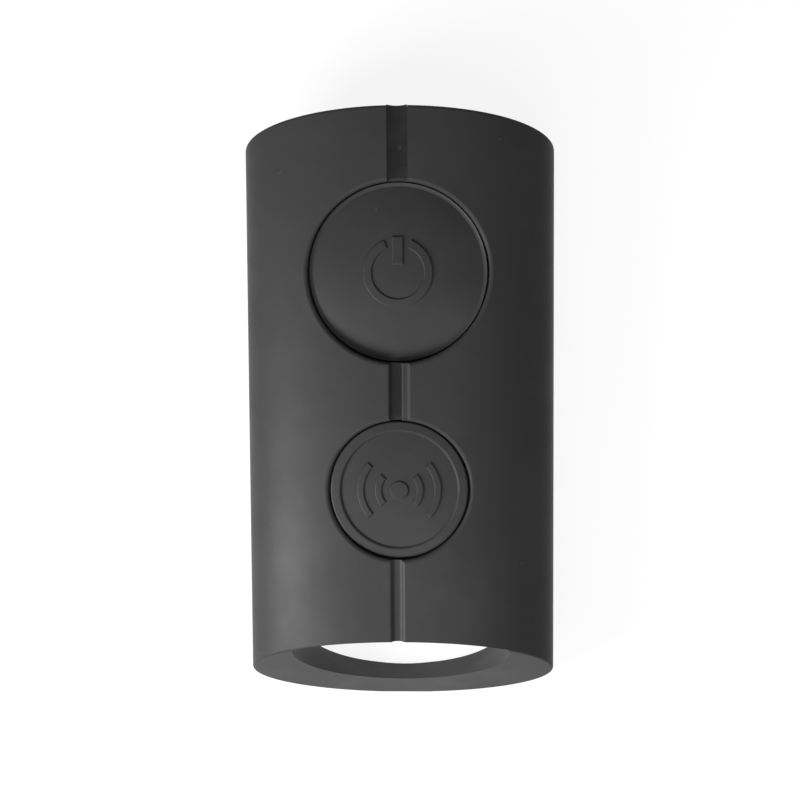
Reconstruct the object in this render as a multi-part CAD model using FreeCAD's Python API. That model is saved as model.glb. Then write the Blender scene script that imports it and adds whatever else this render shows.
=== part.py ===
import FreeCAD
import Part

import math
import os

from FreeCAD import Vector

# A motorcycle smart key fob, lying on its back, in millimetres.
# X runs across the fob, +Y towards the end above the large button, +Z out of its front face.
# The ring loop is at the -Y end. Z = 0 is the flat on the back, and the origin is under the middle.

# Body: an oval bar cut off by two parallel slanted ends
BODY_WIDTH = 37.0
BODY_DEPTH = 16.0
REST_FLAT_CUT = 0.12
END_PITCH = 63.3
END_SLOPE_DEG = 32.4
END_ROUND = 0.3
WALL = 1.8

# Seam between the two half shells, and the lip that closes it
SEAM_WIDTH = 0.3
SEAM_DEPTH = 0.15
SEAM_END_MARGIN = 1.5
LIP_THICKNESS = 0.75
LIP_HEIGHT = 1.1
LIP_CLEARANCE = 0.06
GASKET_HEIGHT = 0.5
GASKET_SQUEEZE_GAP = 0.03

# Slot for the key ring, which leaves the loop bar
SLOT_WIDTH = 26.2
SLOT_SHOULDER = 0.8
SLOT_SHOULDER_DROP = 0.75
SLOT_DROP = 6.6
SLOT_SLOPE_DEG = 9.5
SLOT_TOP_RISE = 0.05
SLOT_WALL = 1.6
PRY_NOTCH_WIDTH = 7.0
PRY_NOTCH_HEIGHT = 0.9
PRY_NOTCH_DEPTH = 0.7

# Grooves down the middle of the front
TOP_GROOVE_WIDTH = 2.4
TOP_GROOVE_DEPTH = 0.95
CHANNEL_LEFT = -0.92
CHANNEL_RIGHT = 0.36
CHANNEL_DEPTH = 1.2
CHANNEL_ROUND = 0.45
LAND_DEPTH = 0.26
LAND_ROUND = 0.22
LAND_RIGHT = 0.95
LAND_SLOPE = 0.55
HOLLOW_LEFT = -1.3
HOLLOW_FLOOR_LEFT = -0.45
HOLLOW_FLOOR_RIGHT = -0.1
HOLLOW_RIGHT = 0.75
HOLLOW_DEPTH = 0.4

# Buttons
POWER_Y = 17.2
POWER_HOLE_RADIUS = 10.58
POWER_DOME_RADIUS = 38.0
POWER_CROWN_SINK = 0.45
POWER_LIP_WIDTH = 0.45
POWER_LIP_RISE = 0.2
POWER_LIP_SAG = 0.05
LOCATE_Y = -8.4
LOCATE_HOLE_RADIUS = 8.28
LOCATE_DOME_RADIUS = 60.0
LOCATE_CROWN_SINK = 0.25
LOCATE_EDGE_ROUND = 0.25
HOLE_ROUND = 0.45
CAP_GAP = 0.15
CAP_SKIN = 1.5
CAP_SIDE_WALL = 1.3
CAP_POST_RADIUS = 1.9
CAP_POST_HEIGHT = 0.375
CAP_POST_ROOT = 0.375
MARK_ROOT = 0.75
FLANGE_REACH = 0.9
FLANGE_THICKNESS = 0.7
FLANGE_STOP_GAP = 0.05
FLANGE_FLAT_REACH = 0.55
COLLAR_WALL = 1.4
BUTTON_TRAVEL = 0.5

# Raised marks on the caps
MARK_HEIGHT = 0.2
MARK_ROUND = 0.15
POWER_MARK_RADIUS = 4.1
POWER_MARK_STROKE = 1.05
POWER_MARK_OPENING_DEG = 46.0
POWER_BAR_WIDTH = 1.3
POWER_BAR_LENGTH = 3.3
POWER_BAR_TOP = 4.2
LOCATE_RIM_WIDTH = 1.3
LOCATE_RIM_SLOPE = 0.3
LOCATE_RIM_BULGE = 0.04
LOCATE_FLOOR_SINK = 0.3
LOCATE_DOT_RADIUS = 1.1
LOCATE_WAVE_RADII = (2.9, 5.0)
LOCATE_WAVE_STROKE = 0.85
LOCATE_WAVE_SPAN_DEG = 84.0

# Indicator lens in the top groove, with its light pipe
LENS_SINK = 0.03
LENS_HOLLOW = 0.22
LENS_SIDE_GAP = 0.02
LENS_END_GAP = 0.35
LENS_TIP_SINK = 0.15
PIPE_RADIUS = 0.5
PIPE_CLEARANCE = 0.06
PIPE_SETBACK = 3.8
PIPE_END_GAP = 0.35
LED_LENGTH = 1.6
LED_WIDTH = 0.8
LED_HEIGHT = 0.6
LED_EDGE_MARGIN = 0.3
LED_CHAMFER = 0.1

# Circuit board, hung under the front face
BOARD_DEPTH = 7.3
BOARD_THICKNESS = 0.8
BOARD_SIDE_GAP = 1.5
BOARD_END_GAP = 0.5
BOARD_CORNER = 2.5

# Rubber key pad: base on the board, webs, and a key under each cap
PAD_BASE_THICKNESS = 0.8
POWER_PAD_RADIUS = 9.0
LOCATE_PAD_RADIUS = 7.6
PAD_BRIDGE_WIDTH = 9.0
PAD_POCKET_RADIUS = 5.0
PAD_KEY_RADIUS = 3.8
PAD_WEB_THICKNESS = 0.45
PAD_WEB_HEIGHT = 1.6
PAD_PLUNGER_RADIUS = 1.0

# Plate that clamps the pad to the board
PLATE_THICKNESS = 0.8
PLATE_SIDE_INSET = 1.8
PLATE_HOLE_MARGIN = 0.8
PLATE_CORNER = 2.0
PLATE_TOP_SETBACK = 1.5

# Tact switches
SWITCH_SIDE = 4.5
SWITCH_HEIGHT = 1.4
SWITCH_STEM_RADIUS = 0.95
SWITCH_STEM_RISE = 0.5
SWITCH_STEM_CLEARANCE = 0.05
SWITCH_TRAVEL = 0.25
SWITCH_STEM_BURIED = 0.6
SWITCH_PLAY_SPARE = 0.02

# Screws through the board into the front shell
SCREW_SIDE_SETBACK = 3.4
SCREW_TOP_SETBACK = 2.6
SCREW_BOTTOM_SETBACK = 3.3
SCREW_RADIUS = 0.7
SCREW_HEAD_RADIUS = 1.25
SCREW_HEAD_HEIGHT = 0.8
SCREW_HOLE_CLEARANCE = 0.1
SCREW_PILOT_CLEARANCE = 0.03
SCREW_TIP_ROOM = 0.3
SCREW_DRIVE_WIDTH = 0.3
SCREW_DRIVE_DEPTH = 0.4
BOSS_WALL = 0.95
BOSS_SKIN = 1.2

# Coin cell, 2032 size, and its seat
CELL_RADIUS = 10.0
CELL_HEIGHT = 3.2
CELL_CAP_RADIUS = 8.6
CELL_CAP_STEP = 0.35
CELL_CAN_WALL = 0.3
CELL_SEAL_WALL = 0.5
CELL_EDGE_ROUND = 0.35
CELL_Y = 5.5
CELL_BOARD_GAP = 1.1
CELL_PAD_THICKNESS = 0.5
CELL_PAD_RADIUS = 8.0
CELL_SIDE_GAP = 0.2
CELL_WALL = 1.0
CELL_WALL_HEIGHT = 2.4
CELL_LIFT_NOTCH_WIDTH = 9.0

# Spring contacts under the board
CONTACT_THICKNESS = 0.2
CONTACT_WIDTH = 2.6
CONTACT_GAP = 0.05
CONTACT_FOOT = 2.2
CONTACT_DROP = 2.6
CONTACT_NOTCH_MARGIN = 0.7
LEAF_REACH = 7.0
LEAF_TIP_FLAT = 1.2

# Parts soldered under and over the board
COIL_SIDE = 8.4
COIL_CORE_SIDE = 6.0
COIL_HEIGHT = 2.6
COIL_BASE_HEIGHT = 0.4
COIL_WINDING = 0.5
COIL_BAND_WIDTH = 4.0
COIL_Y = -15.4
CONTROLLER_SIDE = 5.0
CONTROLLER_HEIGHT = 0.9
CONTROLLER_X = -9.6
CONTROLLER_Y = -9.6
RECEIVER_SIDE = 4.0
RECEIVER_HEIGHT = 0.8
RECEIVER_X = -4.2
RECEIVER_Y = 21.2
CRYSTAL_LENGTH = 3.2
CRYSTAL_WIDTH = 2.5
CRYSTAL_HEIGHT = 0.7
CRYSTAL_X = 3.6
CRYSTAL_Y = 21.2
CHIP_LENGTH = 1.0
CHIP_WIDTH = 0.5
CHIP_HEIGHT = 0.45
CHIP_PITCH = 1.5
CHIP_ROW = 5
CHIP_X = 9.2
CHIP_Y = -13.0
AERIAL_THICKNESS = 0.35
AERIAL_HEIGHT = 1.2
AERIAL_EDGE_INSET = 0.5
AERIAL_LONG_ARM = 36.0
AERIAL_SHORT_ARM = 16.0

# Worked-out levels and outlines
HALF_WIDTH = BODY_WIDTH / 2
HALF_DEPTH = BODY_DEPTH / 2
MID_Z = HALF_DEPTH - REST_FLAT_CUT
FRONT_Z = MID_Z + HALF_DEPTH
END_TAN = math.tan(math.radians(END_SLOPE_DEG))
END_COS = math.cos(math.radians(END_SLOPE_DEG))
SLOT_TAN = math.tan(math.radians(SLOT_SLOPE_DEG))
SLOT_COS = math.cos(math.radians(SLOT_SLOPE_DEG))
SLOT_FRONT_Y = -END_PITCH / 2 + END_TAN * HALF_DEPTH + SLOT_TOP_RISE
BOARD_TOP = FRONT_Z - BOARD_DEPTH
BOARD_BOTTOM = BOARD_TOP - BOARD_THICKNESS
PAD_TOP = BOARD_TOP + PAD_BASE_THICKNESS
PLATE_TOP = PAD_TOP + PLATE_THICKNESS
KEY_BOTTOM = PAD_TOP + PAD_WEB_HEIGHT
STEM_TOP = BOARD_TOP + SWITCH_HEIGHT + SWITCH_STEM_RISE
CELL_TOP = BOARD_BOTTOM - CELL_BOARD_GAP
CELL_BOTTOM = CELL_TOP - CELL_HEIGHT
CELL_SEAT_Z = CELL_BOTTOM - CELL_PAD_THICKNESS
CELL_WALL_RADIUS = CELL_RADIUS + CELL_SIDE_GAP
BOARD_HALF_WIDTH = HALF_WIDTH - WALL - BOARD_SIDE_GAP
SCREW_X = BOARD_HALF_WIDTH - SCREW_SIDE_SETBACK
OVERRUN = 1.0
BIG = 4 * (BODY_WIDTH + BODY_DEPTH + END_PITCH)


def top_end_y(z, inset=0.0):
    """Where the slanted end above the large button is, at height z, taken in by inset."""
    return END_PITCH / 2 + END_TAN * (z - MID_Z) - inset / END_COS


def loop_end_y(z, inset=0.0):
    """Where the slanted end at the loop is, at height z, taken in by inset."""
    return -END_PITCH / 2 + END_TAN * (z - MID_Z) + inset / END_COS


def slot_top_y(z, inset=0.0):
    """Where the slot's upper wall is, at height z, and inset above it inside the fob."""
    return SLOT_FRONT_Y + SLOT_TAN * (FRONT_Z - z) + inset / SLOT_COS


def ceiling_z(x):
    """Height of the front shell's inside face at a distance x from the middle."""
    return MID_Z + (HALF_DEPTH - WALL) * math.sqrt(1 - (x / (HALF_WIDTH - WALL)) ** 2)


def front_z(x):
    """Height of the front face at a distance x from the middle."""
    return MID_Z + HALF_DEPTH * math.sqrt(1 - (x / HALF_WIDTH) ** 2)


def box(x_low, x_high, y_low, y_high, z_low, z_high):
    """A box between two corners."""
    size = (x_high - x_low, y_high - y_low, z_high - z_low)
    return Part.makeBox(*size, Vector(x_low, y_low, z_low))


def disc(radius, x, y, z_low, z_high):
    """An upright cylinder."""
    return Part.makeCylinder(radius, z_high - z_low, Vector(x, y, z_low))


def tube(outer, inner, x, y, z_low, z_high):
    """An upright ring."""
    return disc(outer, x, y, z_low, z_high).cut(disc(inner, x, y, z_low, z_high))


def rounded_slab(half_width, y_low, y_high, corner, z_low, z_high):
    """A flat plate with rounded corners, centred across the fob."""
    slab = box(-half_width, half_width, y_low, y_high, z_low, z_high)
    upright = [e for e in slab.Edges if abs(e.Vertexes[0].Z - e.Vertexes[1].Z) > 0.5 * (z_high - z_low)]
    return slab.makeFillet(corner, upright)


def extrude_side_outline(points, half_width):
    """A prism across the fob from (y, z) corners."""
    corners = [Vector(-half_width, y, z) for y, z in points]
    outline = Part.makePolygon(corners + corners[:1])
    return Part.Face(outline).extrude(Vector(2 * half_width, 0, 0))


def oval_bar(half_width, half_depth):
    """The endless oval bar that the body is cut from, along Y."""
    oval = Part.Wire(Part.Ellipse(Vector(0, 0, 0), half_width, half_depth).toShape())
    bar = Part.Face(oval).extrude(Vector(0, 0, BIG))
    bar.rotate(Vector(0, 0, 0), Vector(1, 0, 0), -90)
    bar.translate(Vector(0, -BIG / 2, MID_Z))
    return bar


def between_ends(inset, z_low, z_high):
    """The space between the two slanted ends."""
    points = [
        (loop_end_y(z_low, inset), z_low),
        (top_end_y(z_low, inset), z_low),
        (top_end_y(z_high, inset), z_high),
        (loop_end_y(z_high, inset), z_high),
    ]
    return extrude_side_outline(points, BODY_WIDTH)


def inner_form(inset, slot_inset):
    """The hollow of the shells, taken in from the outside and from the slot."""
    z_low = MID_Z - BODY_DEPTH
    z_high = MID_Z + BODY_DEPTH
    points = [
        (slot_top_y(z_low, slot_inset), z_low),
        (top_end_y(z_low, inset), z_low),
        (top_end_y(z_high, inset), z_high),
        (slot_top_y(z_high, slot_inset), z_high),
    ]
    form = oval_bar(HALF_WIDTH - inset, HALF_DEPTH - inset)
    form = form.common(extrude_side_outline(points, BODY_WIDTH))
    return form.common(box(-BIG, BIG, -BIG, BIG, inset, BIG))


def slot_cutter():
    """The slot: its top follows the fob's end edge, its lower side is a half oval, and it leans back."""
    half = SLOT_WIDTH / 2
    z = FRONT_Z + OVERRUN
    rise = (END_TAN + SLOT_TAN) * HALF_DEPTH
    y_middle = slot_top_y(z) - rise
    x_shoulder = half - SLOT_SHOULDER
    y_shoulder = y_middle + rise * math.sqrt(1 - (x_shoulder / HALF_WIDTH) ** 2)
    y_tip = y_shoulder - SLOT_SHOULDER_DROP
    turn = math.sqrt(0.5)
    from_right = math.acos(x_shoulder / HALF_WIDTH)
    end_edge = Part.Ellipse(Vector(0, y_middle, z), HALF_WIDTH, rise)
    edges = [Part.ArcOfEllipse(end_edge, from_right, math.pi - from_right)]
    for side in (-1, 1):
        inner = Vector(side * x_shoulder, y_shoulder, z)
        middle = Vector(side * (x_shoulder + SLOT_SHOULDER * turn), y_tip + SLOT_SHOULDER_DROP * turn, z)
        edges.append(Part.Arc(inner, middle, Vector(side * half, y_tip, z)))
    oval = Part.Ellipse(Vector(0, y_tip, z), half, SLOT_DROP)
    edges.append(Part.ArcOfEllipse(oval, math.pi, 2 * math.pi))
    outline = Part.Wire(Part.__sortEdges__([e.toShape() for e in edges]))
    length = BODY_DEPTH + 2 * OVERRUN
    return Part.Face(outline).extrude(Vector(0, SLOT_TAN * length, -length))


def outer_body():
    """The whole outside, with rounded ends and the slot through it."""
    body = oval_bar(HALF_WIDTH, HALF_DEPTH)
    body = body.common(between_ends(0, 0, FRONT_Z + OVERRUN))
    ends = [f for f in body.Faces if abs(f.normalAt(0, 0).x) < 1e-6 and abs(f.normalAt(0, 0).y) > 0.5]
    edges = [e for f in ends for e in f.Edges]
    return body.makeFillet(END_ROUND, edges).cut(slot_cutter())


def seam_groove():
    """The fine groove along both long sides where the half shells meet."""
    y_low = loop_end_y(MID_Z, SEAM_END_MARGIN)
    y_high = top_end_y(MID_Z, SEAM_END_MARGIN)
    belt = box(-BIG, BIG, y_low, y_high, MID_Z - SEAM_WIDTH / 2, MID_Z + SEAM_WIDTH / 2)
    return belt.cut(oval_bar(HALF_WIDTH - SEAM_DEPTH, HALF_DEPTH - SEAM_DEPTH))


def lip_ring(outer_inset, z_low, z_high):
    """A ring round the hollow, between the shell's inside face and outer_inset."""
    wall_step = WALL - outer_inset
    ring = inner_form(outer_inset, SLOT_WALL - wall_step).cut(inner_form(WALL, SLOT_WALL))
    return ring.common(box(-BIG, BIG, -BIG, BIG, z_low, z_high))


def groove_cutter(edges, y_low, y_high):
    """A cutter with an outline drawn at y = 0, along the middle of the front."""
    outline = Part.Wire([e.toShape() for e in edges])
    cutter = Part.Face(outline).extrude(Vector(0, y_high - y_low, 0))
    cutter.translate(Vector(0, y_low, 0))
    return cutter


def under_face(x, depth):
    """A point of a groove's outline, a depth under the front face."""
    return Vector(x, 0, FRONT_Z - depth)


def over_groove(left, right):
    """The three lines that close a groove's outline above the face."""
    return [
        Part.LineSegment(under_face(right, 0), under_face(right, -OVERRUN)),
        Part.LineSegment(under_face(right, -OVERRUN), under_face(left, -OVERRUN)),
        Part.LineSegment(under_face(left, -OVERRUN), under_face(left, 0)),
    ]


def top_groove():
    """The plain channel above the large button, which holds the lens."""
    half = TOP_GROOVE_WIDTH / 2
    return box(-half, half, POWER_Y, END_PITCH, FRONT_Z - TOP_GROOVE_DEPTH, FRONT_Z + OVERRUN)


def soft_slope(start, end):
    """Two arcs that leave one level and meet another without a corner."""
    run = end.x - start.x
    rise = end.z - start.z
    tilt = 2 * math.atan(abs(rise / run))
    across = run / 2 * math.sin(tilt / 2) / math.sin(tilt)
    along = rise / 2 * (1 - math.cos(tilt / 2)) / (1 - math.cos(tilt))
    step = Vector(across, 0, along)
    halfway = (start + end) / 2
    return [Part.Arc(start, start + step, halfway), Part.Arc(halfway, end - step, end)]


def middle_groove():
    """A deep channel at the left with a shallow land beside it, between the buttons."""
    start = CHANNEL_LEFT - CHANNEL_ROUND
    end = LAND_RIGHT + LAND_SLOPE
    cut_back = 1 - math.sqrt(0.5)
    round_left = CHANNEL_ROUND * cut_back
    round_land = LAND_ROUND * cut_back
    wall_top = under_face(CHANNEL_LEFT, CHANNEL_ROUND)
    floor_left = under_face(CHANNEL_LEFT, CHANNEL_DEPTH)
    floor_right = under_face(CHANNEL_RIGHT, CHANNEL_DEPTH)
    land_edge = under_face(CHANNEL_RIGHT, LAND_DEPTH + LAND_ROUND)
    land_corner = under_face(CHANNEL_RIGHT + round_land, LAND_DEPTH + round_land)
    land_left = under_face(CHANNEL_RIGHT + LAND_ROUND, LAND_DEPTH)
    land_right = under_face(LAND_RIGHT, LAND_DEPTH)
    edges = [
        Part.Arc(under_face(start, 0), under_face(CHANNEL_LEFT - round_left, round_left), wall_top),
        Part.LineSegment(wall_top, floor_left),
        Part.LineSegment(floor_left, floor_right),
        Part.LineSegment(floor_right, land_edge),
        Part.Arc(land_edge, land_corner, land_left),
        Part.LineSegment(land_left, land_right),
    ]
    edges += soft_slope(land_right, under_face(end, 0))
    return groove_cutter(edges + over_groove(start, end), LOCATE_Y, POWER_Y)


def low_groove():
    """A soft hollow, steeper at the left, from the small button to the loop's end."""
    floor_left = under_face(HOLLOW_FLOOR_LEFT, HOLLOW_DEPTH)
    floor_right = under_face(HOLLOW_FLOOR_RIGHT, HOLLOW_DEPTH)
    edges = soft_slope(under_face(HOLLOW_LEFT, 0), floor_left)
    edges.append(Part.LineSegment(floor_left, floor_right))
    edges += soft_slope(floor_right, under_face(HOLLOW_RIGHT, 0))
    return groove_cutter(edges + over_groove(HOLLOW_LEFT, HOLLOW_RIGHT), -END_PITCH, LOCATE_Y)


def flange_top(hole_radius):
    """A cap's flange stops this high, under the curved inside of the front shell."""
    return ceiling_z(hole_radius + FLANGE_REACH) - FLANGE_STOP_GAP


def hole_rim_edges(shape, y, radius):
    """The edges where a button's hole meets the outside of the front shell."""
    found = []
    for edge in shape.Edges:
        first, last = edge.ParameterRange
        points = [edge.valueAt(first + (last - first) * k / 4) for k in range(5)]
        round_hole = all(abs(math.hypot(p.x, p.y - y) - radius) < 1e-3 for p in points)
        if round_hole and all(abs(p.z - front_z(p.x)) < 1e-3 for p in points):
            found.append(edge)
    return found


def screw_places():
    """The four screw axes."""
    y_top = top_end_y(BOARD_BOTTOM, WALL) - BOARD_END_GAP - SCREW_TOP_SETBACK
    y_low = slot_top_y(BOARD_BOTTOM, SLOT_WALL) + BOARD_END_GAP + SCREW_BOTTOM_SETBACK
    return [(x, y) for y in (y_top, y_low) for x in (-SCREW_X, SCREW_X)]


def screw_top():
    """How high the screws reach into the front shell."""
    return front_z(SCREW_X + SCREW_RADIUS) - BOSS_SKIN - SCREW_TIP_ROOM


def pipe_ends():
    """Upper and lower end of the light pipe's axis, from the lens down to the LED."""
    y_high = POWER_Y + POWER_HOLE_RADIUS + PIPE_SETBACK
    y_low = led_y() + LED_WIDTH / 4
    upper_end = Vector(0, y_high, FRONT_Z - TOP_GROOVE_DEPTH)
    lower_end = Vector(0, y_low, BOARD_TOP + LED_HEIGHT + PIPE_END_GAP)
    return upper_end, lower_end


def led_y():
    """The LED sits at the board's edge, beyond the large button."""
    return board_top_y() - LED_EDGE_MARGIN - LED_WIDTH / 2


def pipe(radius, extra):
    """The slanted light pipe, or with a larger radius and extra length its hole."""
    high, low = pipe_ends()
    along = (low - high).normalize()
    start = high - along * extra
    return Part.makeCylinder(radius, (low - high).Length + extra, start, along)


def front_case(body):
    """Front half shell, with the button holes, collars, screw bosses and grooves."""
    upper = box(-BIG, BIG, -BIG, BIG, MID_Z, BIG)
    case = body.common(upper).cut(inner_form(WALL, SLOT_WALL))
    within = oval_bar(HALF_WIDTH - WALL / 2, HALF_DEPTH - WALL / 2)
    for y, radius in ((POWER_Y, POWER_HOLE_RADIUS), (LOCATE_Y, LOCATE_HOLE_RADIUS)):
        z_low = flange_top(radius) + FLANGE_STOP_GAP
        collar = disc(radius + COLLAR_WALL, 0, y, z_low, FRONT_Z)
        case = case.fuse(collar.common(within))
    for x, y in screw_places():
        boss = disc(SCREW_RADIUS + BOSS_WALL, x, y, PLATE_TOP, FRONT_Z)
        case = case.fuse(boss.common(within))
    case = case.fuse(lip_ring(WALL - LIP_THICKNESS + LIP_CLEARANCE, MID_Z - LIP_HEIGHT, MID_Z))
    case = case.removeSplitter()
    for y, radius in ((POWER_Y, POWER_HOLE_RADIUS), (LOCATE_Y, LOCATE_HOLE_RADIUS)):
        case = case.cut(disc(radius, 0, y, MID_Z, FRONT_Z + OVERRUN))
    rims = hole_rim_edges(case, POWER_Y, POWER_HOLE_RADIUS)
    rims += hole_rim_edges(case, LOCATE_Y, LOCATE_HOLE_RADIUS)
    case = case.makeFillet(HOLE_ROUND, rims)
    for cutter in (top_groove(), middle_groove(), low_groove()):
        case = case.cut(cutter)
    case = case.cut(pipe(PIPE_RADIUS + PIPE_CLEARANCE, PIPE_RADIUS))
    for x, y in screw_places():
        pilot = disc(SCREW_RADIUS + SCREW_PILOT_CLEARANCE, x, y, MID_Z, screw_top() + SCREW_TIP_ROOM)
        case = case.cut(pilot)
    return case.cut(seam_groove())


def back_case(body):
    """Back half shell, with the loop bar, the gasket's ledge and the coin cell's pocket."""
    lower = box(-BIG, BIG, -BIG, BIG, -OVERRUN, MID_Z)
    hollow = inner_form(WALL, SLOT_WALL)
    case = body.common(lower).cut(hollow)
    inside = inner_form(WALL / 2, SLOT_WALL / 2)
    seat = disc(CELL_WALL_RADIUS + CELL_WALL, 0, CELL_Y, 0, CELL_SEAT_Z)
    pocket_top = CELL_BOTTOM + CELL_WALL_HEIGHT
    ring = tube(CELL_WALL_RADIUS + CELL_WALL, CELL_WALL_RADIUS, 0, CELL_Y, CELL_SEAT_Z, pocket_top)
    half_notch = CELL_LIFT_NOTCH_WIDTH / 2
    lift = box(-half_notch, half_notch, CELL_Y, CELL_Y + 2 * CELL_RADIUS, CELL_SEAT_Z, BIG)
    half_finger = CONTACT_WIDTH / 2 + CONTACT_NOTCH_MARGIN
    finger = box(0, BIG, CELL_Y - half_finger, CELL_Y + half_finger, CELL_SEAT_Z, BIG)
    ring = ring.cut(lift).cut(finger)
    case = case.fuse([seat.common(inside), ring.common(inside)])
    case = case.cut(disc(CELL_WALL_RADIUS, 0, CELL_Y, CELL_SEAT_Z, MID_Z))
    ledge_z = MID_Z - LIP_HEIGHT - GASKET_HEIGHT - GASKET_SQUEEZE_GAP
    rebate_inset = WALL - LIP_THICKNESS
    rebate = inner_form(rebate_inset, SLOT_WALL - LIP_THICKNESS)
    case = case.cut(rebate.cut(hollow).common(box(-BIG, BIG, -BIG, BIG, ledge_z, BIG)))
    notch_y = slot_top_y(MID_Z)
    notch = box(-PRY_NOTCH_WIDTH / 2, PRY_NOTCH_WIDTH / 2, notch_y - OVERRUN, notch_y + PRY_NOTCH_DEPTH,
                MID_Z - PRY_NOTCH_HEIGHT, BIG)
    return case.cut(notch).cut(seam_groove()).removeSplitter()


def case_gasket():
    """Rubber ring in the back shell's rebate, under the front shell's lip."""
    low = MID_Z - LIP_HEIGHT - GASKET_HEIGHT - GASKET_SQUEEZE_GAP
    return lip_ring(WALL - LIP_THICKNESS + LIP_CLEARANCE, low, low + GASKET_HEIGHT)


def dome(radius, crown_z, y):
    """Ball whose top is a cap's crown."""
    return Part.makeSphere(radius, Vector(0, y, crown_z - radius))


def cap(y, hole_radius, dome_radius, crown_z):
    """A hard button cap: domed, hollow below, with a flange that stops it in its hole."""
    radius = hole_radius - CAP_GAP
    z_flange = flange_top(hole_radius)
    z_low = z_flange - FLANGE_THICKNESS
    top = disc(radius, 0, y, z_low, crown_z + OVERRUN).common(dome(dome_radius, crown_z, y))
    flange = disc(hole_radius + FLANGE_REACH - CAP_GAP, 0, y, z_low, z_flange)
    flat_y = y + hole_radius + FLANGE_FLAT_REACH - CAP_GAP
    flange = flange.cut(box(-BIG, BIG, flat_y, BIG, 0, BIG))
    hollow = disc(radius - CAP_SIDE_WALL, 0, y, z_low, cap_underside(dome_radius, crown_z, radius))
    return top.fuse(flange).cut(hollow)


def dome_z(dome_radius, crown_z, reach):
    """Height of a cap's dome at a distance from its axis."""
    return crown_z - dome_radius + math.sqrt(dome_radius ** 2 - reach ** 2)


def ring_of_revolution(y, upper, z_root):
    """A ring about a cap's axis, with an upper outline that runs outwards, rooted at z_root."""
    foot = upper[0].StartPoint
    edge = upper[-1].EndPoint
    low_outer = Vector(edge.x, y, z_root)
    low_inner = Vector(foot.x, y, z_root)
    sides = [
        Part.LineSegment(edge, low_outer),
        Part.LineSegment(low_outer, low_inner),
        Part.LineSegment(low_inner, foot),
    ]
    outline = Part.Wire([e.toShape() for e in upper + sides])
    return Part.Face(outline).revolve(Vector(0, y, 0), Vector(0, 0, 1), 360)


def edge_lip(y, radius, crown_z):
    """The large cap's edge curls up: it rises outwards in a hollow curve from the dome."""
    inner = radius - POWER_LIP_WIDTH
    z_inner = dome_z(POWER_DOME_RADIUS, crown_z, inner)
    foot = Vector(inner, y, z_inner)
    edge = Vector(radius, y, z_inner + POWER_LIP_RISE)
    middle = (foot + edge) * 0.5 - Vector(0, 0, POWER_LIP_SAG)
    return ring_of_revolution(y, [Part.Arc(foot, middle, edge)], z_inner - CAP_SKIN / 2)


def edge_rim(y, radius, crown_z):
    """The small cap's rim: a sloping inner wall, a top that follows the dome, and a rounded outer edge."""
    inner = radius - LOCATE_RIM_WIDTH
    slope_top = inner + LOCATE_RIM_SLOPE
    turn = radius - LOCATE_EDGE_ROUND
    z_foot = dome_z(LOCATE_DOME_RADIUS, crown_z - LOCATE_FLOOR_SINK, inner)
    z_top = dome_z(LOCATE_DOME_RADIUS, crown_z, slope_top)
    z_turn = dome_z(LOCATE_DOME_RADIUS, crown_z, turn)
    half = math.sqrt(0.5) * LOCATE_EDGE_ROUND
    foot = Vector(inner, y, z_foot)
    shoulder = Vector(slope_top, y, z_top)
    bulge = (foot + shoulder) * 0.5 + Vector(-LOCATE_RIM_BULGE, 0, LOCATE_RIM_BULGE)
    crest = Vector(turn, y, z_turn)
    upper = [
        Part.Arc(foot, bulge, shoulder),
        Part.LineSegment(shoulder, crest),
        Part.Arc(crest, Vector(turn + half, y, z_turn - LOCATE_EDGE_ROUND + half),
                 Vector(radius, y, z_turn - LOCATE_EDGE_ROUND)),
    ]
    return ring_of_revolution(y, upper, z_foot - CAP_SKIN / 2)


def edges_on_dome(shape, dome_radius, crown_z, y):
    """The edges between faces of a solid that lie on a cap's dome."""
    middle = Vector(0, y, crown_z - dome_radius)
    found = []
    for edge in shape.Edges:
        if edge.Degenerated or len(shape.ancestorsOfType(edge, Part.Face)) < 2:
            continue
        first, last = edge.ParameterRange
        points = [edge.valueAt(first + (last - first) * k / 4) for k in range(5)]
        if all(abs((p - middle).Length - dome_radius) < 1e-4 for p in points):
            found.append(edge)
    return found


def raised_mark(form, dome_radius, crown_z, y, z_root):
    """A mark that stands MARK_HEIGHT proud of a dome, with soft upper edges."""
    outer = dome_radius + MARK_HEIGHT
    top = crown_z + MARK_HEIGHT
    mark = form.common(dome(outer, top, y)).common(box(-BIG, BIG, -BIG, BIG, z_root, BIG))
    return mark.makeFillet(MARK_ROUND, edges_on_dome(mark, outer, top, y))


def cap_underside(dome_radius, crown_z, radius):
    """The flat inside face of a cap lies CAP_SKIN under the lowest of its outside."""
    return dome_z(dome_radius, crown_z, radius) - CAP_SKIN


def power_crown_z():
    """Top of the large cap."""
    return FRONT_Z - POWER_CROWN_SINK


def locate_crown_z():
    """Top of the small cap's rim, if its dome ran on to the middle."""
    return FRONT_Z - LOCATE_CROWN_SINK


def sector(y, radius, from_deg, to_deg, z_low, z_high):
    """A wedge of a cylinder, between two angles from +X."""
    wedge = Part.makeCylinder(radius, z_high - z_low, Vector(0, y, z_low), Vector(0, 0, 1), to_deg - from_deg)
    wedge.rotate(Vector(0, y, 0), Vector(0, 0, 1), from_deg)
    return wedge


def ring_mark(y, outer, stroke, from_deg, to_deg):
    """An upright curved wall, the raw form of a raised ring mark."""
    z_low = PLATE_TOP
    wall = sector(y, outer, from_deg, to_deg, z_low, FRONT_Z + OVERRUN)
    return wall.cut(disc(outer - stroke, 0, y, z_low, FRONT_Z + OVERRUN))


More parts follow.
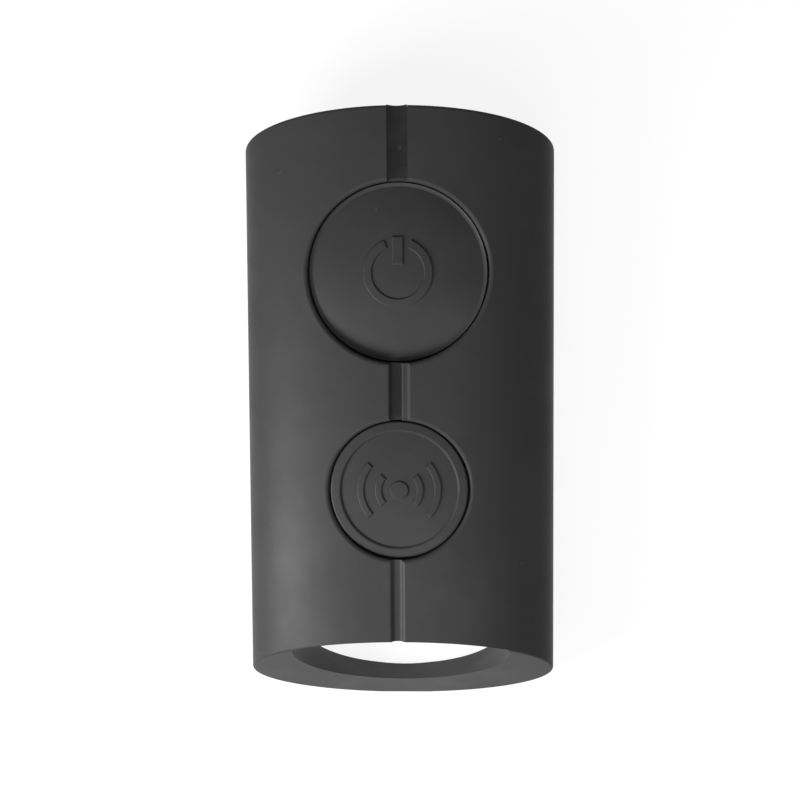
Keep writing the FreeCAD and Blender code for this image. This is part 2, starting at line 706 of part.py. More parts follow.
def power_cap():
    """Large cap with a raised open ring and bar, the usual on and standby mark."""
    crown = power_crown_z()
    radius = POWER_HOLE_RADIUS - CAP_GAP
    plain = cap(POWER_Y, POWER_HOLE_RADIUS, POWER_DOME_RADIUS, crown)
    plain = plain.fuse(edge_lip(POWER_Y, radius, crown))
    gap = POWER_MARK_OPENING_DEG / 2
    ring = ring_mark(POWER_Y, POWER_MARK_RADIUS, POWER_MARK_STROKE, 90 + gap, 450 - gap)
    half = POWER_BAR_WIDTH / 2
    bar_top = POWER_Y + POWER_BAR_TOP
    bar = box(-half, half, bar_top - POWER_BAR_LENGTH, bar_top, PLATE_TOP, FRONT_Z + OVERRUN)
    underside = cap_underside(POWER_DOME_RADIUS, crown, radius)
    z_root = underside + CAP_SKIN - MARK_ROOT
    marks = [raised_mark(m, POWER_DOME_RADIUS, crown, POWER_Y, z_root) for m in (ring, bar)]
    return plain.fuse(marks).fuse(cap_post(POWER_Y, underside)).removeSplitter()


def locate_cap():
    """Small cap: raised rim round a sunk floor with a plain mark, a dot between waves."""
    crown = locate_crown_z()
    radius = LOCATE_HOLE_RADIUS - CAP_GAP
    floor_crown = crown - LOCATE_FLOOR_SINK
    plain = cap(LOCATE_Y, LOCATE_HOLE_RADIUS, LOCATE_DOME_RADIUS, floor_crown)
    plain = plain.fuse(edge_rim(LOCATE_Y, radius, crown))
    underside = cap_underside(LOCATE_DOME_RADIUS, floor_crown, radius)
    z_root = underside + CAP_SKIN - MARK_ROOT
    forms = [disc(LOCATE_DOT_RADIUS, 0, LOCATE_Y, PLATE_TOP, FRONT_Z + OVERRUN)]
    span = LOCATE_WAVE_SPAN_DEG / 2
    for reach in LOCATE_WAVE_RADII:
        for middle in (0, 180):
            forms.append(ring_mark(LOCATE_Y, reach, LOCATE_WAVE_STROKE, middle - span, middle + span))
    marks = [raised_mark(m, LOCATE_DOME_RADIUS, floor_crown, LOCATE_Y, z_root) for m in forms]
    return plain.fuse(marks).fuse(cap_post(LOCATE_Y, underside)).removeSplitter()


def cap_post(y, underside):
    """Short post under a cap that rests on the pad's key."""
    return disc(CAP_POST_RADIUS, 0, y, underside - CAP_POST_HEIGHT, underside + CAP_POST_ROOT)


def pad_key(y, underside):
    """The stiff middle of the rubber pad, between the cap's post and the switch."""
    key = disc(PAD_KEY_RADIUS, 0, y, KEY_BOTTOM, underside - CAP_POST_HEIGHT)
    play = BUTTON_TRAVEL - SWITCH_TRAVEL + SWITCH_PLAY_SPARE
    return key.fuse(disc(PAD_PLUNGER_RADIUS, 0, y, STEM_TOP + play, KEY_BOTTOM))


def pad_web(y):
    """The thin cone of rubber that carries a key and bends when it is pressed."""
    high = PAD_KEY_RADIUS
    low = PAD_POCKET_RADIUS + PAD_WEB_THICKNESS
    place = Vector(0, y, PAD_TOP)
    outside = Part.makeCone(low, high, PAD_WEB_HEIGHT, place)
    inside = Part.makeCone(low - PAD_WEB_THICKNESS, high - PAD_WEB_THICKNESS, PAD_WEB_HEIGHT, place)
    return outside.cut(inside)


def key_pad():
    """The pad's base sheet on the board, one moulding for both buttons."""
    sheet = disc(POWER_PAD_RADIUS, 0, POWER_Y, BOARD_TOP, PAD_TOP)
    sheet = sheet.fuse(disc(LOCATE_PAD_RADIUS, 0, LOCATE_Y, BOARD_TOP, PAD_TOP))
    half = PAD_BRIDGE_WIDTH / 2
    sheet = sheet.fuse(box(-half, half, LOCATE_Y, POWER_Y, BOARD_TOP, PAD_TOP))
    for y in (POWER_Y, LOCATE_Y):
        sheet = sheet.cut(disc(PAD_POCKET_RADIUS, 0, y, BOARD_TOP, PAD_TOP))
    return sheet.removeSplitter()


def board_top_y():
    """The board's edge under the far end of the fob."""
    return top_end_y(BOARD_BOTTOM, WALL) - BOARD_END_GAP


def board_low_y():
    """The board's edge by the slot."""
    return slot_top_y(BOARD_BOTTOM, SLOT_WALL) + BOARD_END_GAP


def circuit_board():
    """The bare board, with its screw holes."""
    ends = (board_low_y(), board_top_y())
    board = rounded_slab(BOARD_HALF_WIDTH, *ends, BOARD_CORNER, BOARD_BOTTOM, BOARD_TOP)
    for x, y in screw_places():
        board = board.cut(disc(SCREW_RADIUS + SCREW_HOLE_CLEARANCE, x, y, BOARD_BOTTOM, BOARD_TOP))
    return board


def pad_plate():
    """Plate over the pad's base, on four feet round the screws."""
    y_low = board_low_y() + PLATE_SIDE_INSET
    y_high = board_top_y() - PLATE_TOP_SETBACK
    plate = rounded_slab(BOARD_HALF_WIDTH - PLATE_SIDE_INSET, y_low, y_high, PLATE_CORNER, PAD_TOP, PLATE_TOP)
    for x, y in screw_places():
        plate = plate.fuse(disc(SCREW_RADIUS + BOSS_WALL, x, y, BOARD_TOP, PLATE_TOP))
    hole = PAD_POCKET_RADIUS + PAD_WEB_THICKNESS + PLATE_HOLE_MARGIN
    for y in (POWER_Y, LOCATE_Y):
        plate = plate.cut(disc(hole, 0, y, PAD_TOP, PLATE_TOP))
    for x, y in screw_places():
        plate = plate.cut(disc(SCREW_RADIUS + SCREW_HOLE_CLEARANCE, x, y, BOARD_TOP, PLATE_TOP))
    return plate.removeSplitter()


def board_screws():
    """Four short self-tapping screws with slotted heads, under the board."""
    screws = []
    for x, y in screw_places():
        head = disc(SCREW_HEAD_RADIUS, x, y, BOARD_BOTTOM - SCREW_HEAD_HEIGHT, BOARD_BOTTOM)
        lowest = BOARD_BOTTOM - SCREW_HEAD_HEIGHT
        half = SCREW_DRIVE_WIDTH / 2
        drive = box(x - SCREW_HEAD_RADIUS, x + SCREW_HEAD_RADIUS, y - half, y + half,
                    lowest, lowest + SCREW_DRIVE_DEPTH)
        shank = disc(SCREW_RADIUS, x, y, BOARD_BOTTOM, screw_top())
        screws.append(head.cut(drive).fuse(shank))
    return Part.makeCompound(screws)


def switch_case(y):
    """A tact switch's square case, hollow where its stem goes in."""
    half = SWITCH_SIDE / 2
    top = BOARD_TOP + SWITCH_HEIGHT
    case = box(-half, half, y - half, y + half, BOARD_TOP, top)
    well_floor = top - SWITCH_STEM_BURIED - SWITCH_TRAVEL - SWITCH_PLAY_SPARE
    return case.cut(disc(SWITCH_STEM_RADIUS + SWITCH_STEM_CLEARANCE, 0, y, well_floor, top))


def switch_stem(y):
    """The round stem that a switch's key pushes."""
    return disc(SWITCH_STEM_RADIUS, 0, y, BOARD_TOP + SWITCH_HEIGHT - SWITCH_STEM_BURIED, STEM_TOP)


def indicator_lens():
    """Smoked strip in the top groove, hollow along its face, with a light pipe down to the LED."""
    half = TOP_GROOVE_WIDTH / 2 - LENS_SIDE_GAP
    rim = FRONT_Z - LENS_SINK
    strip = box(-half, half, POWER_Y, END_PITCH, FRONT_Z - TOP_GROOVE_DEPTH, rim)
    hollow_radius = (half ** 2 + LENS_HOLLOW ** 2) / (2 * LENS_HOLLOW)
    axis_start = Vector(0, 0, rim - LENS_HOLLOW + hollow_radius)
    strip = strip.cut(Part.makeCylinder(hollow_radius, BIG, axis_start, Vector(0, 1, 0)))
    strip = strip.common(between_ends(LENS_TIP_SINK, 0, FRONT_Z + OVERRUN))
    strip = strip.cut(disc(POWER_HOLE_RADIUS + LENS_END_GAP, 0, POWER_Y, 0, FRONT_Z + OVERRUN))
    return strip.fuse(pipe(PIPE_RADIUS, 0))


def indicator_led():
    """Small LED by the board's edge, under the light pipe."""
    half = LED_LENGTH / 2
    y = led_y()
    body = box(-half, half, y - LED_WIDTH / 2, y + LED_WIDTH / 2, BOARD_TOP, BOARD_TOP + LED_HEIGHT)
    upper = [e for e in body.Edges if all(v.Z > BOARD_TOP + LED_HEIGHT / 2 for v in e.Vertexes)]
    return body.makeChamfer(LED_CHAMFER, upper)


def underside_block(x, y, length, width, height):
    """A chip soldered under the board."""
    z_low = BOARD_BOTTOM - height
    return box(x - length / 2, x + length / 2, y - width / 2, y + width / 2, z_low, BOARD_BOTTOM)


def coil_core():
    """Ferrite core of the three-way wake-up coil, on its base."""
    base = underside_block(0, COIL_Y, COIL_SIDE, COIL_SIDE, COIL_BASE_HEIGHT)
    core = underside_block(0, COIL_Y, COIL_CORE_SIDE, COIL_CORE_SIDE, COIL_HEIGHT - COIL_WINDING)
    return base.fuse(core).removeSplitter()


def coil_windings():
    """Two crossed bands of wire over the core."""
    z_high = BOARD_BOTTOM - COIL_BASE_HEIGHT
    z_core = BOARD_BOTTOM - COIL_HEIGHT + COIL_WINDING
    z_low = BOARD_BOTTOM - COIL_HEIGHT
    core = COIL_CORE_SIDE / 2
    wide = core + COIL_WINDING
    band = COIL_BAND_WIDTH / 2
    across = box(-wide, wide, COIL_Y - band, COIL_Y + band, z_low, z_high)
    along = box(-band, band, COIL_Y - wide, COIL_Y + wide, z_low, z_high)
    gap = box(-core, core, COIL_Y - core, COIL_Y + core, z_core, z_high)
    return across.fuse(along).cut(gap).removeSplitter()


def chip_row():
    """A row of small capacitors and resistors under the board."""
    chips = []
    for k in range(CHIP_ROW):
        chips.append(underside_block(CHIP_X, CHIP_Y + k * CHIP_PITCH, CHIP_LENGTH, CHIP_WIDTH, CHIP_HEIGHT))
    return Part.makeCompound(chips)


def aerial():
    """Radio aerial: a bent metal strip standing on the board's edge, in a J."""
    outer = BOARD_HALF_WIDTH - AERIAL_EDGE_INSET
    inner = outer - AERIAL_THICKNESS
    y_low = board_low_y() + AERIAL_EDGE_INSET
    z_high = BOARD_TOP + AERIAL_HEIGHT
    strip = box(-outer, outer, y_low, y_low + AERIAL_LONG_ARM, BOARD_TOP, z_high)
    room = box(-inner, inner, y_low + AERIAL_THICKNESS, BIG, BOARD_TOP, z_high)
    short = box(-BIG, -inner, y_low + AERIAL_SHORT_ARM, BIG, BOARD_TOP, z_high)
    corners = [e for e in strip.Edges if abs(e.Vertexes[0].Z - e.Vertexes[1].Z) > AERIAL_HEIGHT / 2
               and e.Vertexes[0].Y < y_low + 1]
    strip = strip.makeFillet(BOARD_CORNER, corners)
    bends = [e for e in room.Edges if abs(e.Vertexes[0].Z - e.Vertexes[1].Z) > AERIAL_HEIGHT / 2
             and e.Vertexes[0].Y < y_low + 1]
    room = room.makeFillet(BOARD_CORNER - AERIAL_THICKNESS, bends)
    return strip.cut(room).cut(short)


def cell_can():
    """The coin cell's outer can, the positive pole, open at the top."""
    can = disc(CELL_RADIUS, 0, CELL_Y, CELL_BOTTOM, CELL_TOP - CELL_CAP_STEP)
    rounded = [e for e in can.Edges if e.isClosed()]
    can = can.makeFillet(CELL_EDGE_ROUND, rounded)
    inner = CELL_RADIUS - CELL_CAN_WALL
    mouth = CELL_CAP_RADIUS + CELL_SEAL_WALL
    floor = CELL_BOTTOM + CELL_CAN_WALL
    can = can.cut(disc(inner, 0, CELL_Y, floor, CELL_TOP - CELL_CAP_STEP - CELL_EDGE_ROUND))
    return can.cut(disc(mouth, 0, CELL_Y, floor, CELL_TOP))


def cell_seal():
    """The nylon ring between the can and the cap."""
    mouth = CELL_CAP_RADIUS + CELL_SEAL_WALL
    return tube(mouth, CELL_CAP_RADIUS, 0, CELL_Y, CELL_BOTTOM + CELL_CAN_WALL, CELL_TOP - CELL_CAP_STEP)


def cell_cap():
    """The coin cell's cap, the negative pole, with the chemistry as one body under it."""
    cap_body = disc(CELL_CAP_RADIUS, 0, CELL_Y, CELL_BOTTOM + CELL_CAN_WALL, CELL_TOP)
    rounded = [e for e in cap_body.Edges if e.isClosed() and abs(e.CenterOfMass.z - CELL_TOP) < 1e-6]
    return cap_body.makeFillet(CELL_EDGE_ROUND / 2, rounded)


def cell_pad():
    """Foam disc in the pocket that presses the cell towards the board."""
    return disc(CELL_PAD_RADIUS, 0, CELL_Y, CELL_SEAT_Z, CELL_BOTTOM)


def bent_strip(points, thickness, half_width, upright):
    """A spring strip that follows (a, z) points, thickened downwards or sideways."""
    back = [(a + (thickness if upright else 0), z - (0 if upright else thickness)) for a, z in points]
    outline = list(points) + back[::-1]
    if upright:
        corners = [Vector(a, CELL_Y - half_width, z) for a, z in outline]
        reach = Vector(0, 2 * half_width, 0)
    else:
        corners = [Vector(-half_width, a, z) for a, z in outline]
        reach = Vector(2 * half_width, 0, 0)
    return Part.Face(Part.makePolygon(corners + corners[:1])).extrude(reach)


def negative_contact():
    """Leaf spring under the board that presses on the middle of the cell's cap."""
    foot_y = CELL_Y + LEAF_REACH
    tip_z = CELL_TOP + CONTACT_GAP + CONTACT_THICKNESS
    points = [
        (foot_y + CONTACT_FOOT, BOARD_BOTTOM),
        (foot_y, BOARD_BOTTOM),
        (CELL_Y + LEAF_TIP_FLAT, tip_z),
        (CELL_Y - LEAF_TIP_FLAT, tip_z),
    ]
    return bent_strip(points, CONTACT_THICKNESS, CONTACT_WIDTH / 2, False)


def positive_contact():
    """Spring finger beside the cell that touches the can's side."""
    x_touch = CELL_RADIUS + CONTACT_GAP
    x_foot = x_touch + CELL_WALL
    z_low = BOARD_BOTTOM - CONTACT_DROP
    finger = bent_strip(
        [
            (x_foot, BOARD_BOTTOM),
            (x_foot, BOARD_BOTTOM - CONTACT_DROP / 4),
            (x_touch, z_low + CONTACT_DROP / 4),
            (x_touch + CONTACT_THICKNESS, z_low),
        ],
        CONTACT_THICKNESS, CONTACT_WIDTH / 2, True,
    )
    half = CONTACT_WIDTH / 2
    foot = box(x_foot, x_foot + CONTACT_FOOT, CELL_Y - half, CELL_Y + half,
               BOARD_BOTTOM - CONTACT_THICKNESS, BOARD_BOTTOM)
    return finger.fuse(foot).removeSplitter()


def build():
    """All pieces by name, in the fob's frame with Y measured from the middle of the slanted body."""
    body = outer_body()
    power_under = cap_underside(POWER_DOME_RADIUS, power_crown_z(), POWER_HOLE_RADIUS - CAP_GAP)
    locate_floor = locate_crown_z() - LOCATE_FLOOR_SINK
    locate_under = cap_underside(LOCATE_DOME_RADIUS, locate_floor, LOCATE_HOLE_RADIUS - CAP_GAP)
    pieces = {
        "back_case": back_case(body),
        "case_gasket": case_gasket(),
        "cell_foam_pad": cell_pad(),
        "cell_can": cell_can(),
        "cell_seal": cell_seal(),
        "cell_cap": cell_cap(),
        "front_case": front_case(body),
        "indicator_lens": indicator_lens(),
        "indicator_led": indicator_led(),
        "circuit_board": circuit_board(),
        "key_pad_base": key_pad(),
        "key_pad_plate": pad_plate(),
        "board_screws": board_screws(),
        "power_switch_case": switch_case(POWER_Y),
        "power_switch_stem": switch_stem(POWER_Y),
        "locate_switch_case": switch_case(LOCATE_Y),
        "locate_switch_stem": switch_stem(LOCATE_Y),
        "power_cap": power_cap(),
        "power_pad_key": pad_key(POWER_Y, power_under),
        "power_pad_web": pad_web(POWER_Y),
        "locate_cap": locate_cap(),
        "locate_pad_key": pad_key(LOCATE_Y, locate_under),
        "locate_pad_web": pad_web(LOCATE_Y),
        "wake_coil_core": coil_core(),
        "wake_coil_windings": coil_windings(),
        "radio_aerial": aerial(),
        "controller_chip": underside_block(CONTROLLER_X, CONTROLLER_Y, CONTROLLER_SIDE, CONTROLLER_SIDE,
                                           CONTROLLER_HEIGHT),
        "receiver_chip": underside_block(RECEIVER_X, RECEIVER_Y, RECEIVER_SIDE, RECEIVER_SIDE, RECEIVER_HEIGHT),
        "crystal_can": underside_block(CRYSTAL_X, CRYSTAL_Y, CRYSTAL_LENGTH, CRYSTAL_WIDTH, CRYSTAL_HEIGHT),
        "chip_capacitors": chip_row(),
        "negative_contact": negative_contact(),
        "positive_contact": positive_contact(),
    }
    return body, pieces


def main():
    """Puts the middle of the whole length at Y = 0 and writes one STEP file per piece."""
    os.makedirs("parts", exist_ok=True)
    body, pieces = build()
    extent = body.optimalBoundingBox()
    shift = -(extent.YMin + extent.YMax) / 2
    for name, shape in pieces.items():
        shape.translate(Vector(0, shift, 0))
        shape.exportStep(os.path.join("parts", name + ".step"))
        solids = shape.Solids
        volume = sum(s.Volume for s in solids)
        valid = shape.isValid() and all(s.isValid() for s in solids)
        print(f"{name:20s} solids {len(solids)}  volume {volume:9.2f}  valid {valid}")
    print(f"body {extent.XLength:.2f} x {extent.YLength:.2f} x {extent.ZLength:.2f}, moved {shift:.3f} along Y")


main()
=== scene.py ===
import math

import bmesh
import bpy
from mathutils import Matrix, Vector


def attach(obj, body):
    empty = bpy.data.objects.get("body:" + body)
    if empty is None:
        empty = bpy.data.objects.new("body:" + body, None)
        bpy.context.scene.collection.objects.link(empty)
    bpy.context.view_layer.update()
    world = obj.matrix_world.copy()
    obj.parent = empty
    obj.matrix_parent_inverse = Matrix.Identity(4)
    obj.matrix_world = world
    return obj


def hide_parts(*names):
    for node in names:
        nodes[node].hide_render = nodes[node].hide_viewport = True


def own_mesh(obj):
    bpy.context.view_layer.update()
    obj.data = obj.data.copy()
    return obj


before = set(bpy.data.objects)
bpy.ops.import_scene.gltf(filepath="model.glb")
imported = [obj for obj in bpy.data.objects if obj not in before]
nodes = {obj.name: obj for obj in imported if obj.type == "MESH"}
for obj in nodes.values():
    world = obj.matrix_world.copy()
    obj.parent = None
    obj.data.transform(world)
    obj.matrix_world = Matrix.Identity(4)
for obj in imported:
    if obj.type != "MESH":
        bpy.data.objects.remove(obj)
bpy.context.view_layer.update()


# Back half shell, with the ring loop: one moulding in matt charcoal plastic.
# Its outside has a fine spark-eroded grain, rubbed a little smoother where hands and
# pockets touch it. The inside is the same plastic.

SHELL_COLOUR = (0.036, 0.036, 0.0365)
SHELL_RUBBED = (0.042, 0.042, 0.0425)
SHELL_ROUGHNESS = 0.47
SHELL_GRAIN = 0.00011
SHELL_GRAIN_DEPTH = 0.000006
PLASTIC_SHINE = 0.13
RUBBED_RANGE = (0.42, 0.68)
RUBBED_POLISH = 0.06
HAND_WEAR = 0.009
DUST_SPACING = 0.0045
DUST_EDGE = (0.028, 0.02)
DUST_COLOUR = (0.070, 0.070, 0.069, 1)


def add_node(tree, kind, inputs=None, **settings):
    """A shader node with its settings, its constants and its links."""
    node = tree.nodes.new(kind)
    for name, value in settings.items():
        setattr(node, name, value)
    for key, value in (inputs or {}).items():
        if isinstance(value, bpy.types.NodeSocket):
            tree.links.new(value, node.inputs[key])
        else:
            node.inputs[key].default_value = value
    return node


def maths(tree, operation, first, second=0.0):
    """A sum, product or other operation on one or two numbers."""
    return add_node(tree, "ShaderNodeMath", {0: first, 1: second}, operation=operation).outputs[0]


def remap(tree, value, low, high, to_low=0.0, to_high=1.0):
    """value from low to high, as a clamped value from to_low to to_high."""
    ends = {0: value, 1: low, 2: high, 3: to_low, 4: to_high}
    return add_node(tree, "ShaderNodeMapRange", ends, clamp=True).outputs[0]


def mix_colour(tree, share, low, high):
    """A colour between low and high."""
    return add_node(tree, "ShaderNodeMix", {0: share, 6: low, 7: high}, data_type="RGBA").outputs[2]


def object_place(tree):
    """Places on the piece, in metres."""
    return add_node(tree, "ShaderNodeTexCoord").outputs["Object"]


def new_group(name, takes, gives):
    """An empty shader node group, with its named inputs and outputs."""
    group = bpy.data.node_groups.new(name, "ShaderNodeTree")
    for label in takes:
        group.interface.new_socket(name=label, in_out="INPUT", socket_type="NodeSocketFloat")
    for label in gives:
        group.interface.new_socket(name=label, in_out="OUTPUT", socket_type="NodeSocketFloat")
    return group, group.nodes.new("NodeGroupInput"), group.nodes.new("NodeGroupOutput")


def make_moulded_grain():
    """Spark-eroded grain of a moulding, patches rubbed smoother, and sparse dust specks."""
    group, given, out = new_group("moulded_grain", ("Grain", "Wear", "Specks"),
                                  ("Height", "Rubbed", "Dust"))
    place = object_place(group)
    fine = add_node(group, "ShaderNodeTexNoise", {"Vector": place, "Scale": given.outputs["Grain"],
                                                  "Detail": 4.0, "Roughness": 0.6}).outputs[0]
    pits = add_node(group, "ShaderNodeTexVoronoi", {"Vector": place, "Scale": given.outputs["Grain"]},
                    feature="SMOOTH_F1").outputs["Distance"]
    patch = add_node(group, "ShaderNodeTexNoise", {"Vector": place, "Scale": given.outputs["Wear"],
                                                   "Detail": 5.0, "Roughness": 0.62}).outputs[0]
    specks = add_node(group, "ShaderNodeTexVoronoi", {"Vector": place, "Scale": given.outputs["Specks"]},
                      feature="F1").outputs["Distance"]
    group.links.new(maths(group, "ADD", fine, pits), out.inputs["Height"])
    group.links.new(remap(group, patch, *RUBBED_RANGE), out.inputs["Rubbed"])
    group.links.new(remap(group, specks, *DUST_EDGE), out.inputs["Dust"])
    return group


moulded_grain = make_moulded_grain()


def place_group(tree, group, **values):
    """A group in a material, with its own values."""
    node = tree.nodes.new("ShaderNodeGroup")
    node.node_tree = group
    for label, value in values.items():
        node.inputs[label].default_value = value
    return node.outputs


def new_material(name, roughness, metallic=0.0):
    """A material with only a Principled BSDF and its output, its tree, and the shader's inputs."""
    material = bpy.data.materials.new(name)
    material.use_nodes = True
    surface = material.node_tree.nodes["Principled BSDF"].inputs
    surface["Roughness"].default_value = roughness
    surface["Metallic"].default_value = metallic
    return material, material.node_tree, surface


def set_bump(tree, surface, height, depth):
    """Lets a height of 0 to 1, which stands for a real depth in metres, shade the surface."""
    normal = add_node(tree, "ShaderNodeBump", {"Height": height, "Distance": depth}).outputs[0]
    tree.links.new(normal, surface["Normal"])


def moulded_plastic(name, colour, rubbed_colour, roughness, grain, depth):
    """Matt moulded plastic."""
    material, tree, surface = new_material(name, roughness)
    texture = place_group(tree, moulded_grain, Grain=1 / grain, Wear=1 / HAND_WEAR,
                          Specks=1 / DUST_SPACING)
    shade = mix_colour(tree, texture["Rubbed"], (*colour, 1), (*rubbed_colour, 1))
    tree.links.new(mix_colour(tree, texture["Dust"], shade, DUST_COLOUR), surface["Base Color"])
    polish = remap(tree, texture["Rubbed"], 0.0, 1.0, roughness, roughness - RUBBED_POLISH)
    tree.links.new(polish, surface["Roughness"])
    set_bump(tree, surface, texture["Height"], depth)
    surface["Specular IOR Level"].default_value = PLASTIC_SHINE
    return material


def finish_node(material, *names):
    """Gives carried-over pieces their material."""
    for name in names:
        for material_slot in nodes[name].material_slots:
            material_slot.material = material


shell_plastic = moulded_plastic("shell_plastic", SHELL_COLOUR, SHELL_RUBBED, SHELL_ROUGHNESS, SHELL_GRAIN,
                                SHELL_GRAIN_DEPTH)
finish_node(shell_plastic, "back_case")


# Seal between the half shells: a soft black rubber ring that lies in the back half's lip.
# Its skin has the dull bloom of new rubber, in small clouds.

SEAL_COLOUR = (0.028, 0.028, 0.029)
SEAL_BLOOM = (0.060, 0.060, 0.062)
BLOOM_CLOUDS = 0.0035
BLOOM_RANGE = (0.40, 0.72)
BLOOM_DULLING = 0.12
PEEL_SIZE = 0.0004
PEEL_DEPTH = 0.000012


def make_rubber_bloom():
    """Clouds of pale bloom on a rubber skin, and the fine orange-peel of its mould."""
    group, given, out = new_group("rubber_bloom", ("Clouds", "Peel"), ("Bloom", "Height"))
    place = object_place(group)
    clouds = add_node(group, "ShaderNodeTexNoise", {"Vector": place, "Scale": given.outputs["Clouds"],
                                                    "Detail": 6.0, "Roughness": 0.7}).outputs[0]
    peel = add_node(group, "ShaderNodeTexNoise", {"Vector": place, "Scale": given.outputs["Peel"],
                                                  "Detail": 2.0, "Roughness": 0.4}).outputs[0]
    group.links.new(remap(group, clouds, *BLOOM_RANGE), out.inputs["Bloom"])
    group.links.new(peel, out.inputs["Height"])
    return group


rubber_bloom = make_rubber_bloom()


def soft_rubber(name, colour, bloom_colour, roughness, sheen):
    """Rubber or silicone with a bloom on its skin."""
    material, tree, surface = new_material(name, roughness)
    skin = place_group(tree, rubber_bloom, Clouds=1 / BLOOM_CLOUDS, Peel=1 / PEEL_SIZE)
    shade = mix_colour(tree, skin["Bloom"], (*colour, 1), (*bloom_colour, 1))
    tree.links.new(shade, surface["Base Color"])
    dulled = remap(tree, skin["Bloom"], 0.0, 1.0, roughness, roughness + BLOOM_DULLING)
    tree.links.new(dulled, surface["Roughness"])
    set_bump(tree, surface, skin["Height"], PEEL_DEPTH)
    surface["Specular IOR Level"].default_value = 0.35
    surface["Sheen Weight"].default_value = sheen
    surface["Sheen Roughness"].default_value = 0.5
    return material


seal_rubber = soft_rubber("seal_rubber", SEAL_COLOUR, SEAL_BLOOM, roughness=0.66, sheen=0.15)
finish_node(seal_rubber, "case_gasket")


# Foam disc in the pocket under the cell, which presses the cell towards the board.
# It is black closed-cell foam with a cut skin, full of open bubbles about a third of a
# millimetre wide, and it is stuck to the back half.

FOAM_SHADED_HOLLOW = (0.022, 0.022, 0.023, 1)
FOAM_WALL = (0.065, 0.065, 0.066, 1)
FOAM_CELL = 0.00032
FOAM_CELL_EDGE = (0.03, 0.22)
FOAM_CELL_DEPTH = 0.00009

cell_foam, tree, surface = new_material("cell_foam", roughness=0.92)
foam_cells = {"Vector": object_place(tree), "Scale": 1 / FOAM_CELL, "Randomness": 0.9}
bubbles = add_node(tree, "ShaderNodeTexVoronoi", foam_cells, feature="DISTANCE_TO_EDGE").outputs["Distance"]
open_bubble = remap(tree, bubbles, *FOAM_CELL_EDGE)
# Painted shade: the hollows of the open bubbles are coloured darker than their walls.
tree.links.new(mix_colour(tree, open_bubble, FOAM_WALL, FOAM_SHADED_HOLLOW), surface["Base Color"])
set_bump(tree, surface, maths(tree, "SUBTRACT", 1.0, open_bubble), FOAM_CELL_DEPTH)
surface["Specular IOR Level"].default_value = 0.2
finish_node(cell_foam, "cell_foam_pad")


# Coin cell, 2032 size: a drawn steel can with its crimped edge, a nylon ring, and the cap.
# The steel is nickel plated, and the press leaves fine rings round its middle. Finger marks
# make it duller in patches.

STEEL_COLOUR = (0.56, 0.555, 0.54)
STEEL_DULL = (0.47, 0.465, 0.45)
CELL_MIDDLE = (0.0, 0.005462, 0.0)
PLATING_RANGE = (0.40, 0.66)
PLATING_DULLING = 0.16
PLATING_DEPTH = 0.000004
RING_PITCH = 0.00022
RING_PATCHES = 0.0012
RING_DEPTH = 0.0000035
CLOUD_RANGE = (0.3, 0.7)
NYLON_COLOUR = (0.20, 0.20, 0.195, 1)
NYLON_PALE = (0.30, 0.30, 0.29, 1)
NYLON_CLOUDS = 0.0008
NYLON_DEPTH = 0.000006
NYLON_GLOW_REACH = 0.0006


def make_plating():
    """Finger marks and small dents on a plated metal skin."""
    group, given, out = new_group("plating", ("Marks", "Dents"), ("Dull", "Height"))
    place = object_place(group)
    marks = add_node(group, "ShaderNodeTexNoise", {"Vector": place, "Scale": given.outputs["Marks"],
                                                   "Detail": 5.0, "Roughness": 0.65}).outputs[0]
    dents = add_node(group, "ShaderNodeTexNoise", {"Vector": place, "Scale": given.outputs["Dents"],
                                                   "Detail": 3.0, "Roughness": 0.5}).outputs[0]
    group.links.new(remap(group, marks, *PLATING_RANGE), out.inputs["Dull"])
    group.links.new(dents, out.inputs["Height"])
    return group


plating = make_plating()


def plated_metal(name, colour, dull_colour, roughness, marks=0.004, dents=0.0006):
    """Metal with a plated skin, and the tree to add to."""
    material, tree, surface = new_material(name, roughness, metallic=1.0)
    skin = place_group(tree, plating, Marks=1 / marks, Dents=1 / dents)
    tree.links.new(mix_colour(tree, skin["Dull"], (*colour, 1), (*dull_colour, 1)), surface["Base Color"])
    dulled = remap(tree, skin["Dull"], 0.0, 1.0, roughness, roughness + PLATING_DULLING)
    tree.links.new(dulled, surface["Roughness"])
    set_bump(tree, surface, skin["Height"], PLATING_DEPTH)
    return material, tree, surface, skin


def noise(tree, place, size, detail=3.0, roughness=0.5):
    """Soft random cells of about a size in metres, from 0 to 1."""
    values = {"Vector": place, "Scale": 1.0 / size, "Detail": detail, "Roughness": roughness}
    return add_node(tree, "ShaderNodeTexNoise", values).outputs[0]


cell_steel, tree, surface, skin = plated_metal("cell_steel", STEEL_COLOUR, STEEL_DULL, roughness=0.24)
from_middle = add_node(tree, "ShaderNodeVectorMath", {0: object_place(tree), 1: CELL_MIDDLE},
                       operation="SUBTRACT").outputs[0]
flat_place = add_node(tree, "ShaderNodeVectorMath", {0: from_middle, 1: (1, 1, 0)},
                      operation="MULTIPLY").outputs[0]
reach = add_node(tree, "ShaderNodeVectorMath", {0: flat_place}, operation="LENGTH").outputs["Value"]
rings = maths(tree, "SINE", maths(tree, "MULTIPLY", reach, 2 * math.pi / RING_PITCH))
uneven = noise(tree, flat_place, RING_PATCHES, detail=4.0)
pressed = maths(tree, "ADD", maths(tree, "MULTIPLY", rings, uneven), skin["Height"])
set_bump(tree, surface, pressed, RING_DEPTH)
finish_node(cell_steel, "cell_can", "cell_cap")

